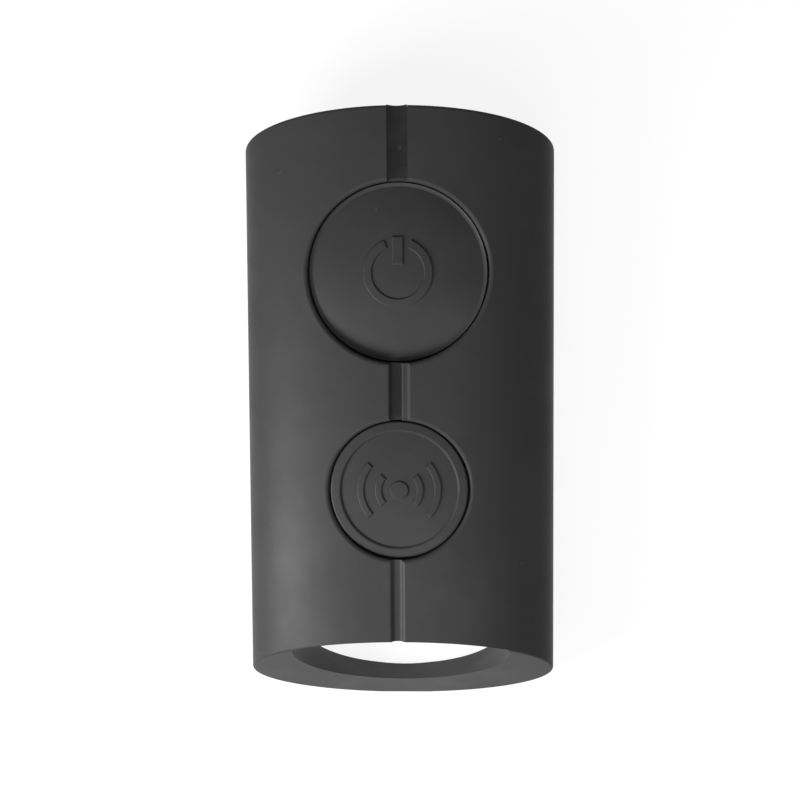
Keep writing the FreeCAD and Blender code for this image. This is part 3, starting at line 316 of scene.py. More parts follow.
cell_nylon, tree, surface = new_material("cell_nylon", roughness=0.42)
clouds = noise(tree, object_place(tree), NYLON_CLOUDS, detail=4.0)
shade = mix_colour(tree, remap(tree, clouds, *CLOUD_RANGE), NYLON_COLOUR, NYLON_PALE)
tree.links.new(shade, surface["Base Color"])
set_bump(tree, surface, clouds, NYLON_DEPTH)
surface["Subsurface Weight"].default_value = 0.3
surface["Subsurface Radius"].default_value = (NYLON_GLOW_REACH,) * 3
finish_node(cell_nylon, "cell_seal")


# Circuit board: glass-cloth laminate 0.8 mm thick under a green solder mask, which hangs under
# the front half. Copper runs show through the mask as paler, slightly raised lines, and the
# weave of the glass shows faintly. The routed edge shows the bare laminate.

# Lengths on the board are in millimetres, and those inside materials in metres.
MM = 0.001
BOARD_UNDER = 7.780
BOARD_OVER = 8.580
MASK_COLOUR = (0.006, 0.070, 0.028, 1)
MASK_LIGHT = (0.010, 0.100, 0.042, 1)
COPPER_UNDER_MASK = (0.022, 0.170, 0.055, 1)
LAMINATE_COLOUR = (0.300, 0.290, 0.150, 1)
MASK_CLOUDS = 0.003
MASK_ROUGHNESS = 0.28
LAMINATE_ROUGHNESS = 0.75
WEAVE_PITCH = 0.00046
WEAVE_SHARE = 0.12
WEAVE_DEPTH = 0.000003
UPRIGHT_BELOW = (0.5, 0.4)
TIN_COLOUR = (0.60, 0.60, 0.59)
TIN_DULL = (0.45, 0.45, 0.44)
RUN_HEIGHT = 0.030
RUN_BEND_DROP = 0.004
VIA_DROP = 0.045
VIA_ROOT = 0.02
VIA_RADII = (0.24, 0.30)
# Each run of copper: its width, and the points of its route.
RUNS = [
    (0.25, [(-8.6, -7.0), (-8.6, -3.2), (-12.6, 0.8), (-12.6, 17.0), (-10.4, 19.2), (-6.4, 19.2),
            (-6.4, 20.2)]),
    (0.25, [(-9.1, -7.0), (-9.1, -3.4), (-13.1, 0.6), (-13.1, 17.4), (-10.8, 19.7), (-6.4, 19.7)]),
    (0.25, [(-9.6, -7.0), (-9.6, -3.6), (-13.6, 0.4), (-13.6, 19.6), (-11.4, 21.8), (-6.4, 21.8)]),
    (0.25, [(-7.0, -8.4), (-3.6, -8.4), (1.2, -3.6), (8.4, -3.6), (8.9, -4.1), (8.9, -6.4)]),
    (0.25, [(-7.0, -9.2), (-3.2, -9.2), (1.6, -4.4), (6.6, -4.4), (7.6, -5.4), (7.6, -8.5), (8.5, -8.5)]),
    (0.25, [(-7.0, -10.0), (-4.6, -10.0), (-3.9, -10.7), (-3.9, -11.4)]),
    (0.25, [(-7.0, -10.8), (-5.9, -10.8), (-4.9, -11.8), (-4.9, -15.4), (-4.4, -15.4)]),
    (0.25, [(-8.0, -12.3), (-8.0, -17.4), (-6.0, -19.4), (-4.4, -19.4)]),
    (0.25, [(-2.0, 20.4), (0.4, 20.4), (1.2, 20.8), (1.9, 20.8)]),
    (0.25, [(-2.0, 21.9), (1.9, 21.9)]),
    (0.25, [(-4.2, 23.3), (-4.2, 25.4), (-1.6, 27.4), (-0.9, 27.4)]),
    (0.25, [(-5.2, 23.3), (-5.2, 26.2), (-3.4, 28.0), (-0.9, 28.0)]),
    (0.60, [(0.0, 14.8), (0.0, 17.4), (6.2, 17.4), (9.2, 14.4), (13.2, 14.4), (14.3, 13.3), (14.3, -11.5),
            (12.8, -13.0), (10.0, -13.0)]),
    (0.60, [(12.2, 4.2), (12.2, -2.4), (11.4, -3.2), (11.4, -6.4), (10.8, -7.0), (10.0, -7.0)]),
    (0.50, [(-12.3, -9.6), (-13.6, -10.9), (-13.6, -20.4), (-12.4, -21.6)]),
    (0.35, [(5.4, 21.2), (8.0, 21.2), (9.6, 22.8), (9.6, 25.2)]),
]
VIAS = [(-8.6, -3.2), (-12.6, 17.0), (-9.6, -3.6), (1.2, -3.6), (-4.9, -13.2), (-13.6, -14.0), (-0.9, 27.4),
        (-0.9, 28.0), (9.6, 25.2), (-8.0, -17.4), (14.3, 8.0), (11.4, -4.6), (6.2, 17.4), (2.6, 26.4),
        (-10.4, 19.2), (6.6, -4.4)]


def stud(bm, x, y, z_low, z_high, radius, top_radius=None, segments=20):
    """An upright round stud in millimetres, straight or tapered."""
    place = Matrix.Translation((x, y, (z_low + z_high) / 2))
    upper = radius if top_radius is None else top_radius
    bmesh.ops.create_cone(bm, cap_ends=True, segments=segments, radius1=radius, radius2=upper,
                          depth=z_high - z_low, matrix=place)


def new_piece(name, bm, material, body):
    """A piece made in millimetres, finished in metres, that rides on a body."""
    bmesh.ops.scale(bm, vec=(MM, MM, MM), verts=bm.verts)
    bmesh.ops.recalc_face_normals(bm, faces=bm.faces)
    mesh = bpy.data.meshes.new(name)
    bm.to_mesh(mesh)
    bm.free()
    mesh.materials.append(material)
    piece = bpy.data.objects.new(name, mesh)
    bpy.context.scene.collection.objects.link(piece)
    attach(piece, body)
    return piece


def copper_run(bm, width, route, z_low, z_high):
    """A flat run of copper along a route, round at its bends and ends."""
    for start, end in zip(route, route[1:]):
        along = Vector(end) - Vector(start)
        middle = (Vector(start) + Vector(end)) / 2
        place = (Matrix.Translation((*middle, (z_low + z_high) / 2))
                 @ Matrix.Rotation(math.atan2(along.y, along.x), 4, "Z")
                 @ Matrix.Diagonal((along.length, width, z_high - z_low, 1)))
        bmesh.ops.create_cube(bm, size=1.0, matrix=place)
    for x, y in route:
        stud(bm, x, y, z_low - RUN_BEND_DROP, z_high, width / 2, segments=16)


def solder_mask(name, low, high):
    """Green mask with the glass weave faint in it, and bare laminate on upright faces."""
    material, tree, surface = new_material(name, MASK_ROUGHNESS)
    place = object_place(tree)
    split = add_node(tree, "ShaderNodeSeparateXYZ", {0: place}).outputs
    warp = maths(tree, "SINE", maths(tree, "MULTIPLY", split["X"], 2 * math.pi / WEAVE_PITCH))
    weft = maths(tree, "SINE", maths(tree, "MULTIPLY", split["Y"], 2 * math.pi / WEAVE_PITCH))
    weave = maths(tree, "MULTIPLY", warp, weft)
    faint_weave = maths(tree, "MULTIPLY", weave, WEAVE_SHARE)
    cloudy = maths(tree, "ADD", noise(tree, place, MASK_CLOUDS), faint_weave)
    shade = mix_colour(tree, remap(tree, cloudy, *CLOUD_RANGE), low, high)
    facing = add_node(tree, "ShaderNodeNewGeometry").outputs["Normal"]
    upward = add_node(tree, "ShaderNodeSeparateXYZ", {0: facing}).outputs["Z"]
    edge_face = remap(tree, maths(tree, "ABSOLUTE", upward), *UPRIGHT_BELOW)
    tree.links.new(mix_colour(tree, edge_face, shade, LAMINATE_COLOUR), surface["Base Color"])
    finish = remap(tree, edge_face, 0.0, 1.0, MASK_ROUGHNESS, LAMINATE_ROUGHNESS)
    tree.links.new(finish, surface["Roughness"])
    set_bump(tree, surface, weave, WEAVE_DEPTH)
    surface["Coat Weight"].default_value = 0.25
    surface["Coat Roughness"].default_value = 0.15
    return material


finish_node(solder_mask("board_mask", MASK_COLOUR, MASK_LIGHT), "circuit_board")

bm = bmesh.new()
for width, route in RUNS:
    copper_run(bm, width, route, BOARD_UNDER - RUN_HEIGHT, BOARD_UNDER + RUN_HEIGHT)
new_piece("board_copper_runs", bm, solder_mask("masked_copper", COPPER_UNDER_MASK, COPPER_UNDER_MASK),
          "front_cover")

tin = plated_metal("soldered_tin", TIN_COLOUR, TIN_DULL, roughness=0.26, marks=0.0012, dents=0.0003)[0]

bm = bmesh.new()
for x, y in VIAS:
    stud(bm, x, y, BOARD_UNDER - VIA_DROP, BOARD_UNDER + VIA_ROOT, *VIA_RADII)
new_piece("board_vias", bm, tin, "front_cover")


# Chips under the board: the controller and the radio receiver in black moulded resin, with
# tinned pads along their edges, the crystal in its can, and a row of small ceramic capacitors
# with tinned ends. All are soldered flat to the board.

RESIN_COLOUR = (0.018, 0.018, 0.019)
RESIN_RUBBED = (0.026, 0.026, 0.027)
# Each chip: the place of its middle, half its side, and the pads along a side.
CONTROLLER = (-9.6, -9.638, 2.5, 8)
CONTROLLER_HEIGHT = 0.9
RECEIVER = (-4.2, 21.162, 2.0, 6)
RECEIVER_HEIGHT = 0.8
CHIP_PAD_INSET = 0.35
CHIP_PAD_REACH = 0.22
CHIP_PAD_HALF_WIDTH = 0.12
CHIP_PAD_HEIGHT = 0.16
CHIP_PAD_EDGE = 0.04
PIN_MARK_INSET = 0.6
PIN_MARK_RADIUS = 0.22
PIN_MARK_RISE = 0.012
PIN_MARK_ROOT = 0.01
PIN_MARK_COLOUR = (0.05, 0.05, 0.05)
PIN_MARK_RUBBED = (0.06, 0.06, 0.06)
CAPACITOR_X = 9.2
CAPACITOR_FIRST_Y = -13.038
CAPACITOR_PITCH = 1.5
CAPACITOR_COUNT = 5
CAPACITOR_END = (0.28, 0.52, 0.80)
CAPACITOR_END_HEIGHT = 0.47
CAPACITOR_END_HALF_WIDTH = 0.27
CAPACITOR_SOLDER_HEIGHT = 0.12
CAPACITOR_SOLDER_HALF_WIDTH = 0.30
CRYSTAL_LID = 0.00745
CRYSTAL_LID_EDGE = 0.00002
CRYSTAL_COLOUR = (0.62, 0.58, 0.50)
CRYSTAL_DULL = (0.50, 0.47, 0.41)
CRYSTAL_BASE = (0.09, 0.07, 0.05, 1)
CERAMIC_COLOUR = (0.24, 0.16, 0.10, 1)
CERAMIC_PALE = (0.33, 0.24, 0.15, 1)
CERAMIC_GRAIN = 0.00008
CERAMIC_DEPTH = 0.000004


def block(bm, corner, opposite, edge=0.0):
    """A block between two opposite corners in millimetres, with its edges rounded off."""
    middle = (Vector(corner) + Vector(opposite)) / 2
    size = [abs(a - b) for a, b in zip(corner, opposite)]
    place = Matrix.Translation(middle) @ Matrix.Diagonal((*size, 1))
    made = bmesh.ops.create_cube(bm, size=1.0, matrix=place)["verts"]
    if edge:
        edges = list({e for v in made for e in v.link_edges})
        bmesh.ops.bevel(bm, geom=edges, offset=edge, offset_type="OFFSET", segments=2, profile=0.5,
                        affect="EDGES", material=-1)


def chip_pads(bm, x, y, half, count):
    """Tinned pads with their solder along the four edges of a chip."""
    pitch = 2 * (half - CHIP_PAD_INSET) / (count - 1)
    low = BOARD_UNDER - CHIP_PAD_HEIGHT
    for k in range(count):
        step = -half + CHIP_PAD_INSET + k * pitch
        start, stop = step - CHIP_PAD_HALF_WIDTH, step + CHIP_PAD_HALF_WIDTH
        for side in (-1, 1):
            near, far = side * half, side * (half + CHIP_PAD_REACH)
            block(bm, (x + near, y + start, low), (x + far, y + stop, BOARD_UNDER), CHIP_PAD_EDGE)
            block(bm, (x + start, y + near, low), (x + stop, y + far, BOARD_UNDER), CHIP_PAD_EDGE)


chip_resin = moulded_plastic("chip_resin", RESIN_COLOUR, RESIN_RUBBED, roughness=0.52, grain=0.00006,
                             depth=0.000003)
finish_node(chip_resin, "controller_chip", "receiver_chip")

bm = bmesh.new()
chip_pads(bm, *CONTROLLER)
chip_pads(bm, *RECEIVER)
new_piece("chip_solder_pads", bm, tin, "front_cover")

bm = bmesh.new()
for chip, height in ((CONTROLLER, CONTROLLER_HEIGHT), (RECEIVER, RECEIVER_HEIGHT)):
    x, y, half = chip[:3]
    under = BOARD_UNDER - height
    stud(bm, x - half + PIN_MARK_INSET, y + half - PIN_MARK_INSET, under - PIN_MARK_RISE,
         under + PIN_MARK_ROOT, PIN_MARK_RADIUS)
pin_mark = moulded_plastic("pin_mark", PIN_MARK_COLOUR, PIN_MARK_RUBBED, roughness=0.35, grain=0.0001,
                           depth=0.000001)
new_piece("chip_pin_marks", bm, pin_mark, "front_cover")

crystal_metal, tree, surface, skin = plated_metal("crystal_metal", CRYSTAL_COLOUR, CRYSTAL_DULL,
                                                  roughness=0.22)
height = add_node(tree, "ShaderNodeSeparateXYZ", {0: object_place(tree)}).outputs["Z"]
in_base = remap(tree, height, CRYSTAL_LID, CRYSTAL_LID + CRYSTAL_LID_EDGE)
lid = mix_colour(tree, skin["Dull"], (*CRYSTAL_COLOUR, 1), (*CRYSTAL_DULL, 1))
tree.links.new(mix_colour(tree, in_base, lid, CRYSTAL_BASE), surface["Base Color"])
tree.links.new(maths(tree, "SUBTRACT", 1.0, in_base), surface["Metallic"])
finish_node(crystal_metal, "crystal_can")

chip_ceramic, tree, surface = new_material("chip_ceramic", roughness=0.5)
grains = noise(tree, object_place(tree), CERAMIC_GRAIN, detail=4.0)
shade = mix_colour(tree, remap(tree, grains, *CLOUD_RANGE), CERAMIC_COLOUR, CERAMIC_PALE)
tree.links.new(shade, surface["Base Color"])
set_bump(tree, surface, grains, CERAMIC_DEPTH)
finish_node(chip_ceramic, "chip_capacitors")

bm = bmesh.new()
for k in range(CAPACITOR_COUNT):
    y = CAPACITOR_FIRST_Y + k * CAPACITOR_PITCH
    for side in (-1, 1):
        inner, outer, toe = (CAPACITOR_X + side * reach for reach in CAPACITOR_END)
        block(bm, (inner, y - CAPACITOR_END_HALF_WIDTH, BOARD_UNDER - CAPACITOR_END_HEIGHT),
              (outer, y + CAPACITOR_END_HALF_WIDTH, BOARD_UNDER), edge=0.03)
        block(bm, (inner, y - CAPACITOR_SOLDER_HALF_WIDTH, BOARD_UNDER - CAPACITOR_SOLDER_HEIGHT),
              (toe, y + CAPACITOR_SOLDER_HALF_WIDTH, BOARD_UNDER), edge=0.05)
new_piece("capacitor_ends", bm, tin, "front_cover")


# Wake-up coil: a square ferrite core on its base, wound with enamelled copper wire in two
# crossed bands, turn beside turn, so that it hears the motorcycle's low-frequency call from any
# side. Tinned terminals sit at the base's corners.

COIL_Y = -15.438
CORE_HALF = 3.0
BASE_HALF = 4.2
BASE_THICKNESS = 0.4
CORE_UNDER = 5.680
WIRE_RADIUS = 0.115
WIRE_PITCH = 0.235
BAND_TURNS = 17
INNER_LAYER = 0.13
OUTER_LAYER = 0.365
BEND_STEPS = 5
TERMINAL_PLATE = 1.0
TERMINAL_SKIN = 0.03
TERMINAL_UNDER = 0.05
TERMINAL_OVER = 0.02
TERMINAL_FOOT = (0.2, 1.0)
TERMINAL_ROOT = 0.02
TERMINAL_TOE = 0.35
TERMINAL_SOLDER = 0.25
ENAMEL_CLOUDS = 0.0006
ENAMEL_ROUGHNESS = (0.26, 0.40)
SPARK_RANGE = (0.75, 1.0)
FERRITE_ROUGHNESS = (0.55, 0.25)
FERRITE_GRAIN = 0.00012
FERRITE_DEPTH = 0.000008
FERRITE_COLOUR = (0.030, 0.030, 0.032, 1)
FERRITE_PAINTED_GLINT = (0.100, 0.100, 0.105, 1)
ENAMEL_COLOUR = (0.430, 0.120, 0.035, 1)
ENAMEL_PALE = (0.600, 0.210, 0.075, 1)


def open_end(grown):
    """The ring of points and edges at the end of what has just been drawn."""
    points = [g for g in grown if isinstance(g, bmesh.types.BMVert)]
    edges = [g for g in grown if isinstance(g, bmesh.types.BMEdge) and all(v in points for v in g.verts)]
    return points, edges


def draw_wire(bm, end, move):
    """Draws a wire straight on from its end."""
    end = open_end(bmesh.ops.extrude_edge_only(bm, edges=end[1])["geom"])
    bmesh.ops.translate(bm, vec=move, verts=end[0])
    return end


def bend_wire(bm, end, centre):
    """Draws a wire a quarter turn on, about an axis along Y."""
    return open_end(bmesh.ops.spin(bm, geom=end[0] + end[1], cent=centre, axis=(0, -1, 0),
                                   angle=math.radians(90), steps=BEND_STEPS)["geom_last"])


def wind_band(bm, layer, turn):
    """A band of turns down one side of the core, under it and up the other side, turned about the core."""
    place = Matrix.Translation((-CORE_HALF - layer, 0, BOARD_UNDER - BASE_THICKNESS))
    ring = bmesh.ops.create_circle(bm, segments=8, radius=WIRE_RADIUS, matrix=place)["verts"]
    end = (ring, list({e for v in ring for e in v.link_edges}))
    drop = BOARD_UNDER - BASE_THICKNESS - CORE_UNDER
    end = draw_wire(bm, end, (0, 0, -drop))
    end = bend_wire(bm, end, (-CORE_HALF, 0, CORE_UNDER))
    end = draw_wire(bm, end, (2 * CORE_HALF, 0, 0))
    end = bend_wire(bm, end, (CORE_HALF, 0, CORE_UNDER))
    draw_wire(bm, end, (0, 0, drop))
    turn_of_wire = list(bm.faces)
    bmesh.ops.translate(bm, vec=(0, -(BAND_TURNS - 1) / 2 * WIRE_PITCH, 0), verts=bm.verts)
    for k in range(1, BAND_TURNS):
        copied = bmesh.ops.duplicate(bm, geom=turn_of_wire)["geom"]
        points = [g for g in copied if isinstance(g, bmesh.types.BMVert)]
        bmesh.ops.translate(bm, vec=(0, k * WIRE_PITCH, 0), verts=points)
    bmesh.ops.rotate(bm, cent=(0, 0, 0), matrix=Matrix.Rotation(turn, 3, "Z"), verts=bm.verts)
    bmesh.ops.translate(bm, vec=(0, COIL_Y, 0), verts=bm.verts)


coil_copper, tree, surface = new_material("coil_copper", roughness=0.3, metallic=0.85)
shades = noise(tree, object_place(tree), ENAMEL_CLOUDS, detail=4.0)
shade = mix_colour(tree, remap(tree, shades, *CLOUD_RANGE), ENAMEL_COLOUR, ENAMEL_PALE)
tree.links.new(shade, surface["Base Color"])
tree.links.new(remap(tree, shades, *CLOUD_RANGE, *ENAMEL_ROUGHNESS), surface["Roughness"])
surface["Coat Weight"].default_value = 0.6
surface["Coat Roughness"].default_value = 0.12

for name, layer, turn in (("coil_band_across", INNER_LAYER, 0.0),
                          ("coil_band_along", OUTER_LAYER, math.radians(90))):
    bm = bmesh.new()
    wind_band(bm, layer, turn)
    band = new_piece(name, bm, coil_copper, "front_cover")
    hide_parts("wake_coil_windings")

ferrite, tree, surface = new_material("ferrite", roughness=0.5)
ferrite_cells = {"Vector": object_place(tree), "Scale": 1 / FERRITE_GRAIN}
crystals = add_node(tree, "ShaderNodeTexVoronoi", ferrite_cells, feature="F1").outputs
chance = add_node(tree, "ShaderNodeSeparateXYZ", {0: crystals["Color"]}).outputs["X"]
sparks = remap(tree, chance, *SPARK_RANGE)
# Random crystal faces are smoother, and are also painted paler as a painted glint.
tree.links.new(mix_colour(tree, sparks, FERRITE_COLOUR, FERRITE_PAINTED_GLINT), surface["Base Color"])
tree.links.new(remap(tree, sparks, 0.0, 1.0, *FERRITE_ROUGHNESS), surface["Roughness"])
set_bump(tree, surface, crystals["Distance"], FERRITE_DEPTH)
finish_node(ferrite, "wake_coil_core")

bm = bmesh.new()
base_under = BOARD_UNDER - BASE_THICKNESS
outer, inner = BASE_HALF + TERMINAL_SKIN, BASE_HALF - TERMINAL_PLATE
for x_side in (-1, 1):
    for y_side in (-1, 1):
        block(bm, (x_side * outer, COIL_Y + y_side * outer, base_under - TERMINAL_UNDER),
              (x_side * inner, COIL_Y + y_side * inner, base_under + TERMINAL_OVER), edge=TERMINAL_SKIN)
        start, stop = (COIL_Y + y_side * (BASE_HALF - inset) for inset in TERMINAL_FOOT)
        block(bm, (x_side * (BASE_HALF - TERMINAL_ROOT), start, BOARD_UNDER - TERMINAL_SOLDER),
              (x_side * (BASE_HALF + TERMINAL_TOE), stop, BOARD_UNDER), edge=0.08)
new_piece("coil_terminals", bm, tin, "front_cover")


# Cell springs and the radio aerial: strips of nickel-plated spring bronze, blanked and bent in a
# press. A leaf presses on the cell's cap, a finger touches its side, and the aerial stands on the
# board's edge. Their feet are soldered to the board.

NICKEL_COLOUR = (0.60, 0.57, 0.52)
NICKEL_DULL = (0.46, 0.43, 0.38)
LEAF_FOOT = (0.0, 13.56)
FINGER_FOOT = (12.15, 5.46)
LEAF_PAD = (-1.6, 12.4, 1.6, 14.9)
FINGER_PAD = (11.0, 3.9, 13.5, 7.0)
PAD_RISE = 0.06
FOOT_WELD = 0.8
WELD_LEVELS = (BOARD_UNDER - 0.27, BOARD_UNDER - 0.18)
WELD_RADII = (0.25, 0.42)
AERIAL_FEET = [(14.5, -18.0), (14.5, 6.0), (-14.5, -18.0), (-14.5, -10.0)]
AERIAL_SOLDER = (0.38, 0.5, 0.22)

contact_nickel = plated_metal("contact_nickel", NICKEL_COLOUR, NICKEL_DULL, roughness=0.27,
                              marks=0.0025, dents=0.0004)[0]
finish_node(contact_nickel, "negative_contact", "positive_contact", "radio_aerial")

bm = bmesh.new()
for side in (-FOOT_WELD, FOOT_WELD):
    stud(bm, LEAF_FOOT[0] + side, LEAF_FOOT[1], *WELD_LEVELS, *WELD_RADII)
    stud(bm, FINGER_FOOT[0], FINGER_FOOT[1] + side, *WELD_LEVELS, *WELD_RADII)
for left, near, right, far in (LEAF_PAD, FINGER_PAD):
    block(bm, (left, near, BOARD_UNDER - PAD_RISE), (right, far, BOARD_UNDER), edge=0.02)
half_width, half_length, rise = AERIAL_SOLDER
for x, y in AERIAL_FEET:
    block(bm, (x - half_width, y - half_length, BOARD_OVER),
          (x + half_width, y + half_length, BOARD_OVER + rise), edge=0.1)
new_piece("spring_and_aerial_solder", bm, tin, "front_cover")


# Indicator LED: a white resin block on the board's edge, with tinned ends and a round window of
# yellow phosphor, under the light pipe.

LED_MIDDLE = (0.0, 0.028217, 0.009180)
LED_WINDOW = 0.00028
LED_END = 0.00055
LED_EDGE = 0.00003
LED_CLOUDS = 0.0003
LED_RESIN = (0.70, 0.69, 0.66, 1)
LED_RESIN_PALE = (0.78, 0.77, 0.74, 1)
PHOSPHOR_COLOUR = (0.72, 0.56, 0.10, 1)

led_white, tree, surface = new_material("led_white", roughness=0.35)
place = object_place(tree)
from_window = add_node(tree, "ShaderNodeVectorMath", {0: place, 1: LED_MIDDLE},
                       operation="DISTANCE").outputs["Value"]
window = remap(tree, from_window, LED_WINDOW, LED_WINDOW - LED_EDGE)
along = add_node(tree, "ShaderNodeSeparateXYZ", {0: place}).outputs["X"]
ends = remap(tree, maths(tree, "ABSOLUTE", along), LED_END, LED_END + LED_EDGE)
resin = mix_colour(tree, noise(tree, place, LED_CLOUDS), LED_RESIN, LED_RESIN_PALE)
resin = mix_colour(tree, window, resin, PHOSPHOR_COLOUR)
tree.links.new(mix_colour(tree, ends, resin, (*TIN_COLOUR, 1)), surface["Base Color"])
tree.links.new(ends, surface["Metallic"])
finish_node(led_white, "indicator_led")


# Two tact switches, soldered over the board: each is a square case with a pressed steel cover,
# held by four staked plastic pins, and a brown plastic stem that the pad's key pushes.

BUTTON_PLACES = [("power", 17.162), ("locate", -8.438)]
SWITCH_STEEL = (0.52, 0.52, 0.51)
SWITCH_DULL = (0.42, 0.42, 0.41)
BRUSH_LENGTH = 0.0012
BRUSH_STRETCH = (1, 24, 24)
SWITCH_TOP = 9.980
STEM_COLOUR = (0.20, 0.060, 0.022)
STEM_RUBBED = (0.26, 0.085, 0.034)
PIN_REACH = 1.72
PIN_RISE = 0.05
PIN_RADII = (0.32, 0.22)
LEG_REACH = (2.24, 2.39, 2.95)
SWITCH_LEG_Y = 1.5
FOOT_HALF_WIDTH = 0.3
FOOT_HEIGHT = 0.16
LEG_HALF_WIDTH = 0.25
LEG_HEIGHT = 0.7

switch_steel, tree, surface = plated_metal("switch_steel", SWITCH_STEEL, SWITCH_DULL, roughness=0.3,
                                           marks=0.002, dents=0.0003)[:3]
stretched = add_node(tree, "ShaderNodeVectorMath", {0: object_place(tree), 1: BRUSH_STRETCH},
                     operation="MULTIPLY").outputs[0]
set_bump(tree, surface, noise(tree, stretched, BRUSH_LENGTH, detail=4.0), PLATING_DEPTH)
finish_node(switch_steel, "power_switch_case", "locate_switch_case")
stem_plastic = moulded_plastic("stem_plastic", STEM_COLOUR, STEM_RUBBED, roughness=0.42, grain=0.00009,
                               depth=0.000003)
finish_node(stem_plastic, "power_switch_stem", "locate_switch_stem")
pin_plastic = moulded_plastic("pin_plastic", RESIN_COLOUR, RESIN_RUBBED, roughness=0.4, grain=0.00012,
                              depth=0.000003)

for button, y in BUTTON_PLACES:
    bm = bmesh.new()
    for x_side in (-1, 1):
        for y_side in (-1, 1):
            stud(bm, x_side * PIN_REACH, y + y_side * PIN_REACH, SWITCH_TOP - PIN_RISE,
                 SWITCH_TOP + PIN_RISE, *PIN_RADII)
    new_piece(button + "_switch_pins", bm, pin_plastic, "front_cover")
    bm = bmesh.new()
    for x_side in (-1, 1):
        for y_side in (-1, 1):
            middle = y + y_side * SWITCH_LEG_Y
            near, bend, far = (x_side * reach for reach in LEG_REACH)
            block(bm, (near, middle - FOOT_HALF_WIDTH, BOARD_OVER),
                  (far, middle + FOOT_HALF_WIDTH, BOARD_OVER + FOOT_HEIGHT), edge=0.05)
            block(bm, (near, middle - LEG_HALF_WIDTH, BOARD_OVER),
                  (bend, middle + LEG_HALF_WIDTH, BOARD_OVER + LEG_HEIGHT), edge=0.04)
    new_piece(button + "_switch_legs", bm, tin, "front_cover")


# Key pad: one grey silicone moulding that lies on the board. Under each cap a stiff key hangs on
# a thin round web, which folds down when the cap is pressed and springs it back.

SILICONE_COLOUR = (0.200, 0.205, 0.210)
SILICONE_BLOOM = (0.270, 0.275, 0.280)
WEB_LOW = 9.380
WEB_HEIGHT = 1.6
WEB_FOOT_RADIUS = 5.45
WEB_TOP_RADIUS = 3.8
WEB_THICKNESS = 0.45
WEB_STEPS = 8
WEB_SIDES = 72
WEB_CURVED_SHARE = 0.4
MERGE_REACH = 1e-5

pad_silicone = soft_rubber("pad_silicone", SILICONE_COLOUR, SILICONE_BLOOM, roughness=0.48, sheen=0.25)
finish_node(pad_silicone, "key_pad_base", "power_pad_key", "locate_pad_key")

for button, y in BUTTON_PLACES:
    bm = bmesh.new()
    wall = []
    for k in range(WEB_STEPS + 1):
        share = k / WEB_STEPS
        fold = share * share * (3 - 2 * share)
        inward = WEB_CURVED_SHARE * fold + (1 - WEB_CURVED_SHARE) * share
        radius = WEB_FOOT_RADIUS + (WEB_TOP_RADIUS - WEB_FOOT_RADIUS) * inward
        wall.append((radius, WEB_LOW + share * WEB_HEIGHT))
    inner = [(radius - WEB_THICKNESS, z) for radius, z in reversed(wall)]
    profile = [bm.verts.new((radius, 0, z)) for radius, z in wall + inner]
    edges = [bm.edges.new(pair) for pair in zip(profile, profile[1:] + profile[:1])]
    bmesh.ops.spin(bm, geom=profile + edges, cent=(0, 0, 0), axis=(0, 0, 1), angle=math.radians(360),
                   steps=WEB_SIDES, use_merge=True)
    bmesh.ops.remove_doubles(bm, verts=bm.verts, dist=MERGE_REACH)
    bmesh.ops.translate(bm, vec=(0, y, 0), verts=bm.verts)
    web = new_piece(button + "_web", bm, pad_silicone, "front_cover")
    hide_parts(button + "_pad_web")
    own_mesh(web)


# Plate that clamps the pad to the board, in glass-filled black plastic with pale fibres at its
# surface, and the four zinc-plated screws that go through board and plate into the front half.

PLATE_COLOUR = (0.040, 0.040, 0.041, 1)
PLATE_RUBBED = (0.055, 0.055, 0.056, 1)
PLATE_GRAIN = 0.0002
PLATE_WEAR = 0.004
PLATE_GRAIN_DEPTH = 0.00001
FIBRE_COLOUR = (0.120, 0.120, 0.118, 1)
FIBRE_WIDTH = 0.0016
FIBRE_RANGE = (0.56, 0.74)
FIBRE_STRETCH = (9, 1, 9)
ZINC_COLOUR = (0.50, 0.52, 0.55)
ZINC_YELLOWED = (0.52, 0.49, 0.40)

plate_plastic, tree, surface = new_material("plate_plastic", roughness=0.6)
texture = place_group(tree, moulded_grain, Grain=1 / PLATE_GRAIN, Wear=1 / PLATE_WEAR,
                      Specks=1 / PLATE_WEAR)
drawn_out = add_node(tree, "ShaderNodeVectorMath", {0: object_place(tree), 1: FIBRE_STRETCH},
                     operation="MULTIPLY").outputs[0]
streaks = noise(tree, drawn_out, FIBRE_WIDTH, detail=5.0, roughness=0.7)
fibres = remap(tree, streaks, *FIBRE_RANGE)
shade = mix_colour(tree, texture["Rubbed"], PLATE_COLOUR, PLATE_RUBBED)
tree.links.new(mix_colour(tree, fibres, shade, FIBRE_COLOUR), surface["Base Color"])
set_bump(tree, surface, texture["Height"], PLATE_GRAIN_DEPTH)
surface["Specular IOR Level"].default_value = 0.35
finish_node(plate_plastic, "key_pad_plate")

screw_zinc = plated_metal("screw_zinc", ZINC_COLOUR, ZINC_YELLOWED, roughness=0.3, marks=0.0012,
                          dents=0.0002)[0]
finish_node(screw_zinc, "board_screws")


# Two button caps in the front half, of the same charcoal plastic as the shells: a large one with
# a raised power mark, and a small one whose raised rim holds a dot between waves.

finish_node(shell_plastic, "power_cap", "locate_cap")


# Front half shell: one moulding in the same matt charcoal plastic, with the two round holes,
# the grooves between them, and the bosses that the board hangs on.

finish_node(shell_plastic, "front_case")


# Indicator lens: a strip of smoked, polished plastic in the groove above the large button, with
# its light pipe down to the LED. The pipe's end shows as a faint pale dot.

